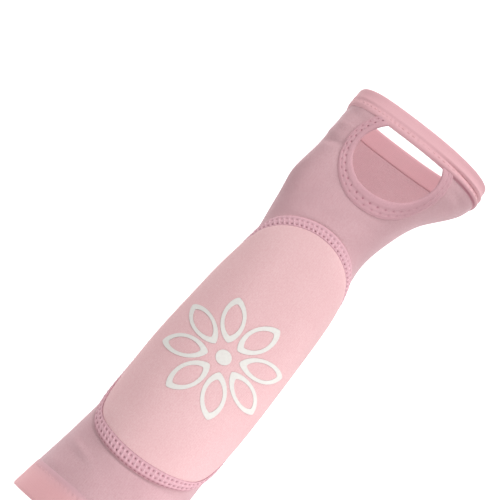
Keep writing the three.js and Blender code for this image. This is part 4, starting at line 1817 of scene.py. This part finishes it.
@dataclass
class Studio:
    """The camera at the photograph's angle, a pale floor and soft light."""

    azimuth: float = -51.0
    elevation: float = 78.0
    target: tuple[float, float, float] = (-32.0, 27.0, 0.0)
    distance: float = 650.0
    focal_pixels: float = 1140.35
    frame_pixels: float = 500.0
    sensor: float = 36.0
    floor_z: float = -0.35
    floor_side: float = 9.0
    floor_glow: float = 0.5
    sky: float = 0.12
    lamps: tuple[Lamp, ...] = (
        Lamp("key_lamp", 0.45, 0.78, 0.42, 0.3, 5.5),
        Lamp("right_lamp", 0.82, 0.38, 0.42, 0.3, 4.0),
        Lamp("left_lamp", -0.9, 0.0, 0.42, 0.4, 4.5),
        Lamp("near_lamp", 0.08, -0.36, 0.26, 0.2, 1.15),
    )

    def axes(self) -> tuple[Vector, Vector, Vector]:
        """The picture's own directions.

        Returns:
            Right, up and the way back to the camera.
        """
        a = math.radians(self.azimuth)
        e = math.radians(self.elevation)
        back = Vector((math.sin(a) * math.cos(e), -math.cos(a) * math.cos(e), math.sin(e)))
        right = Vector((math.cos(a), math.sin(a), 0.0))
        return right, back.cross(right), back

    def build(self) -> None:
        """Set up the camera, the floor, the lamps and the world."""
        self.place_camera()
        self.lay_floor()
        for lamp in self.lamps:
            self.hang_lamp(lamp)
        world = bpy.data.worlds.new("studio")
        world.use_nodes = True
        background = world.node_tree.nodes["Background"]
        background.inputs["Color"].default_value = linear("#ffffff")
        background.inputs["Strength"].default_value = self.sky
        bpy.context.scene.world = world
        bpy.context.scene.view_settings.view_transform = "Standard"

    def place_camera(self) -> None:
        """Stand the camera where the photograph was taken from."""
        right, up, back = self.axes()
        camera = bpy.data.objects.new("camera", bpy.data.cameras.new("camera"))
        camera.data.sensor_width = self.sensor
        camera.data.lens = self.sensor * self.focal_pixels / self.frame_pixels
        place = (Vector(self.target) + back * self.distance) * MM
        camera.matrix_world = Matrix.Translation(place) @ Matrix((right, up, back)).transposed().to_4x4()
        bpy.context.scene.collection.objects.link(camera)
        bpy.context.scene.camera = camera

    def lay_floor(self) -> None:
        """Lay a pale floor well below the sleeve."""
        deselect()
        bpy.ops.mesh.primitive_plane_add(size=self.floor_side)
        floor = bpy.context.active_object
        floor.name = "floor"
        points = read_points(floor)
        points[:, 2] = self.floor_z
        write_points(floor, points)
        material, tree, output = new_material("white_studio_floor")
        place = add(tree, "ShaderNodeTexCoord")
        noise = add(tree, "ShaderNodeTexNoise", values={"Scale": 3.0},
                    links={"Vector": place.outputs["Object"]})
        rough = add(tree, "ShaderNodeMapRange", values={"To Min": 0.8, "To Max": 0.95},
                    links={"Value": noise.outputs[0]})
        shader = add(tree, "ShaderNodeBsdfPrincipled",
                     values={"Base Color": linear("#f7f7f7"), "Emission Color": linear("#ffffff"),
                             "Emission Strength": self.floor_glow, "Specular IOR Level": 0.0},
                     links={"Roughness": rough.outputs[0]})
        tree.links.new(shader.outputs[0], output.inputs["Surface"])
        floor.data.materials.append(material)

    def hang_lamp(self, lamp: Lamp) -> None:
        """Hang one panel lamp so that it faces the sleeve's middle.

        Args:
            lamp: The lamp.
        """
        right, up, back = self.axes()
        middle = Vector(self.target) * MM
        place = middle + right * lamp.right + up * lamp.up + back * lamp.back
        data = bpy.data.lights.new(lamp.name, "AREA")
        data.shape = "DISK"
        data.size = lamp.size
        data.energy = lamp.power
        obj = bpy.data.objects.new(lamp.name, data)
        facing = (place - middle).to_track_quat("Z", "Y").to_matrix().to_4x4()
        obj.matrix_world = Matrix.Translation(place) @ facing
        bpy.context.scene.collection.objects.link(obj)


def main() -> None:
    """Build the studio, then each piece of the sleeve in the order it is sewn."""
    logging.basicConfig(level=logging.INFO, format="%(name)s: %(message)s")
    Studio().build()
    hem_knit = HEM_KNIT.material()
    sleeve = KnitSleeve()
    sleeve_piece = sleeve.build()
    elbow_hem = TurnedHem(HemEnd.ELBOW, hem_knit, rise=0.35, blend_all=0.0, blend_edge=0.9, blend_width=4.5)
    hand_hem = TurnedHem(HemEnd.HAND, hem_knit, rise=0.7, blend_all=0.5, blend_edge=0.6, blend_width=2.0)
    thumb_hem = ThumbHem()
    hems = [elbow_hem.build(), hand_hem.build(), thumb_hem.build()]
    hems.append(sew_turned_hem(elbow_hem))
    hems.append(sew_turned_hem(hand_hem))
    hems.append(sew_thumb_hem(thumb_hem))
    pad = ForearmPad().build()
    seam = PadSeam()
    seam.build()
    sew_pad_seam(seam)
    Rosette().build(pad)


if __name__ == "__main__":
    main()
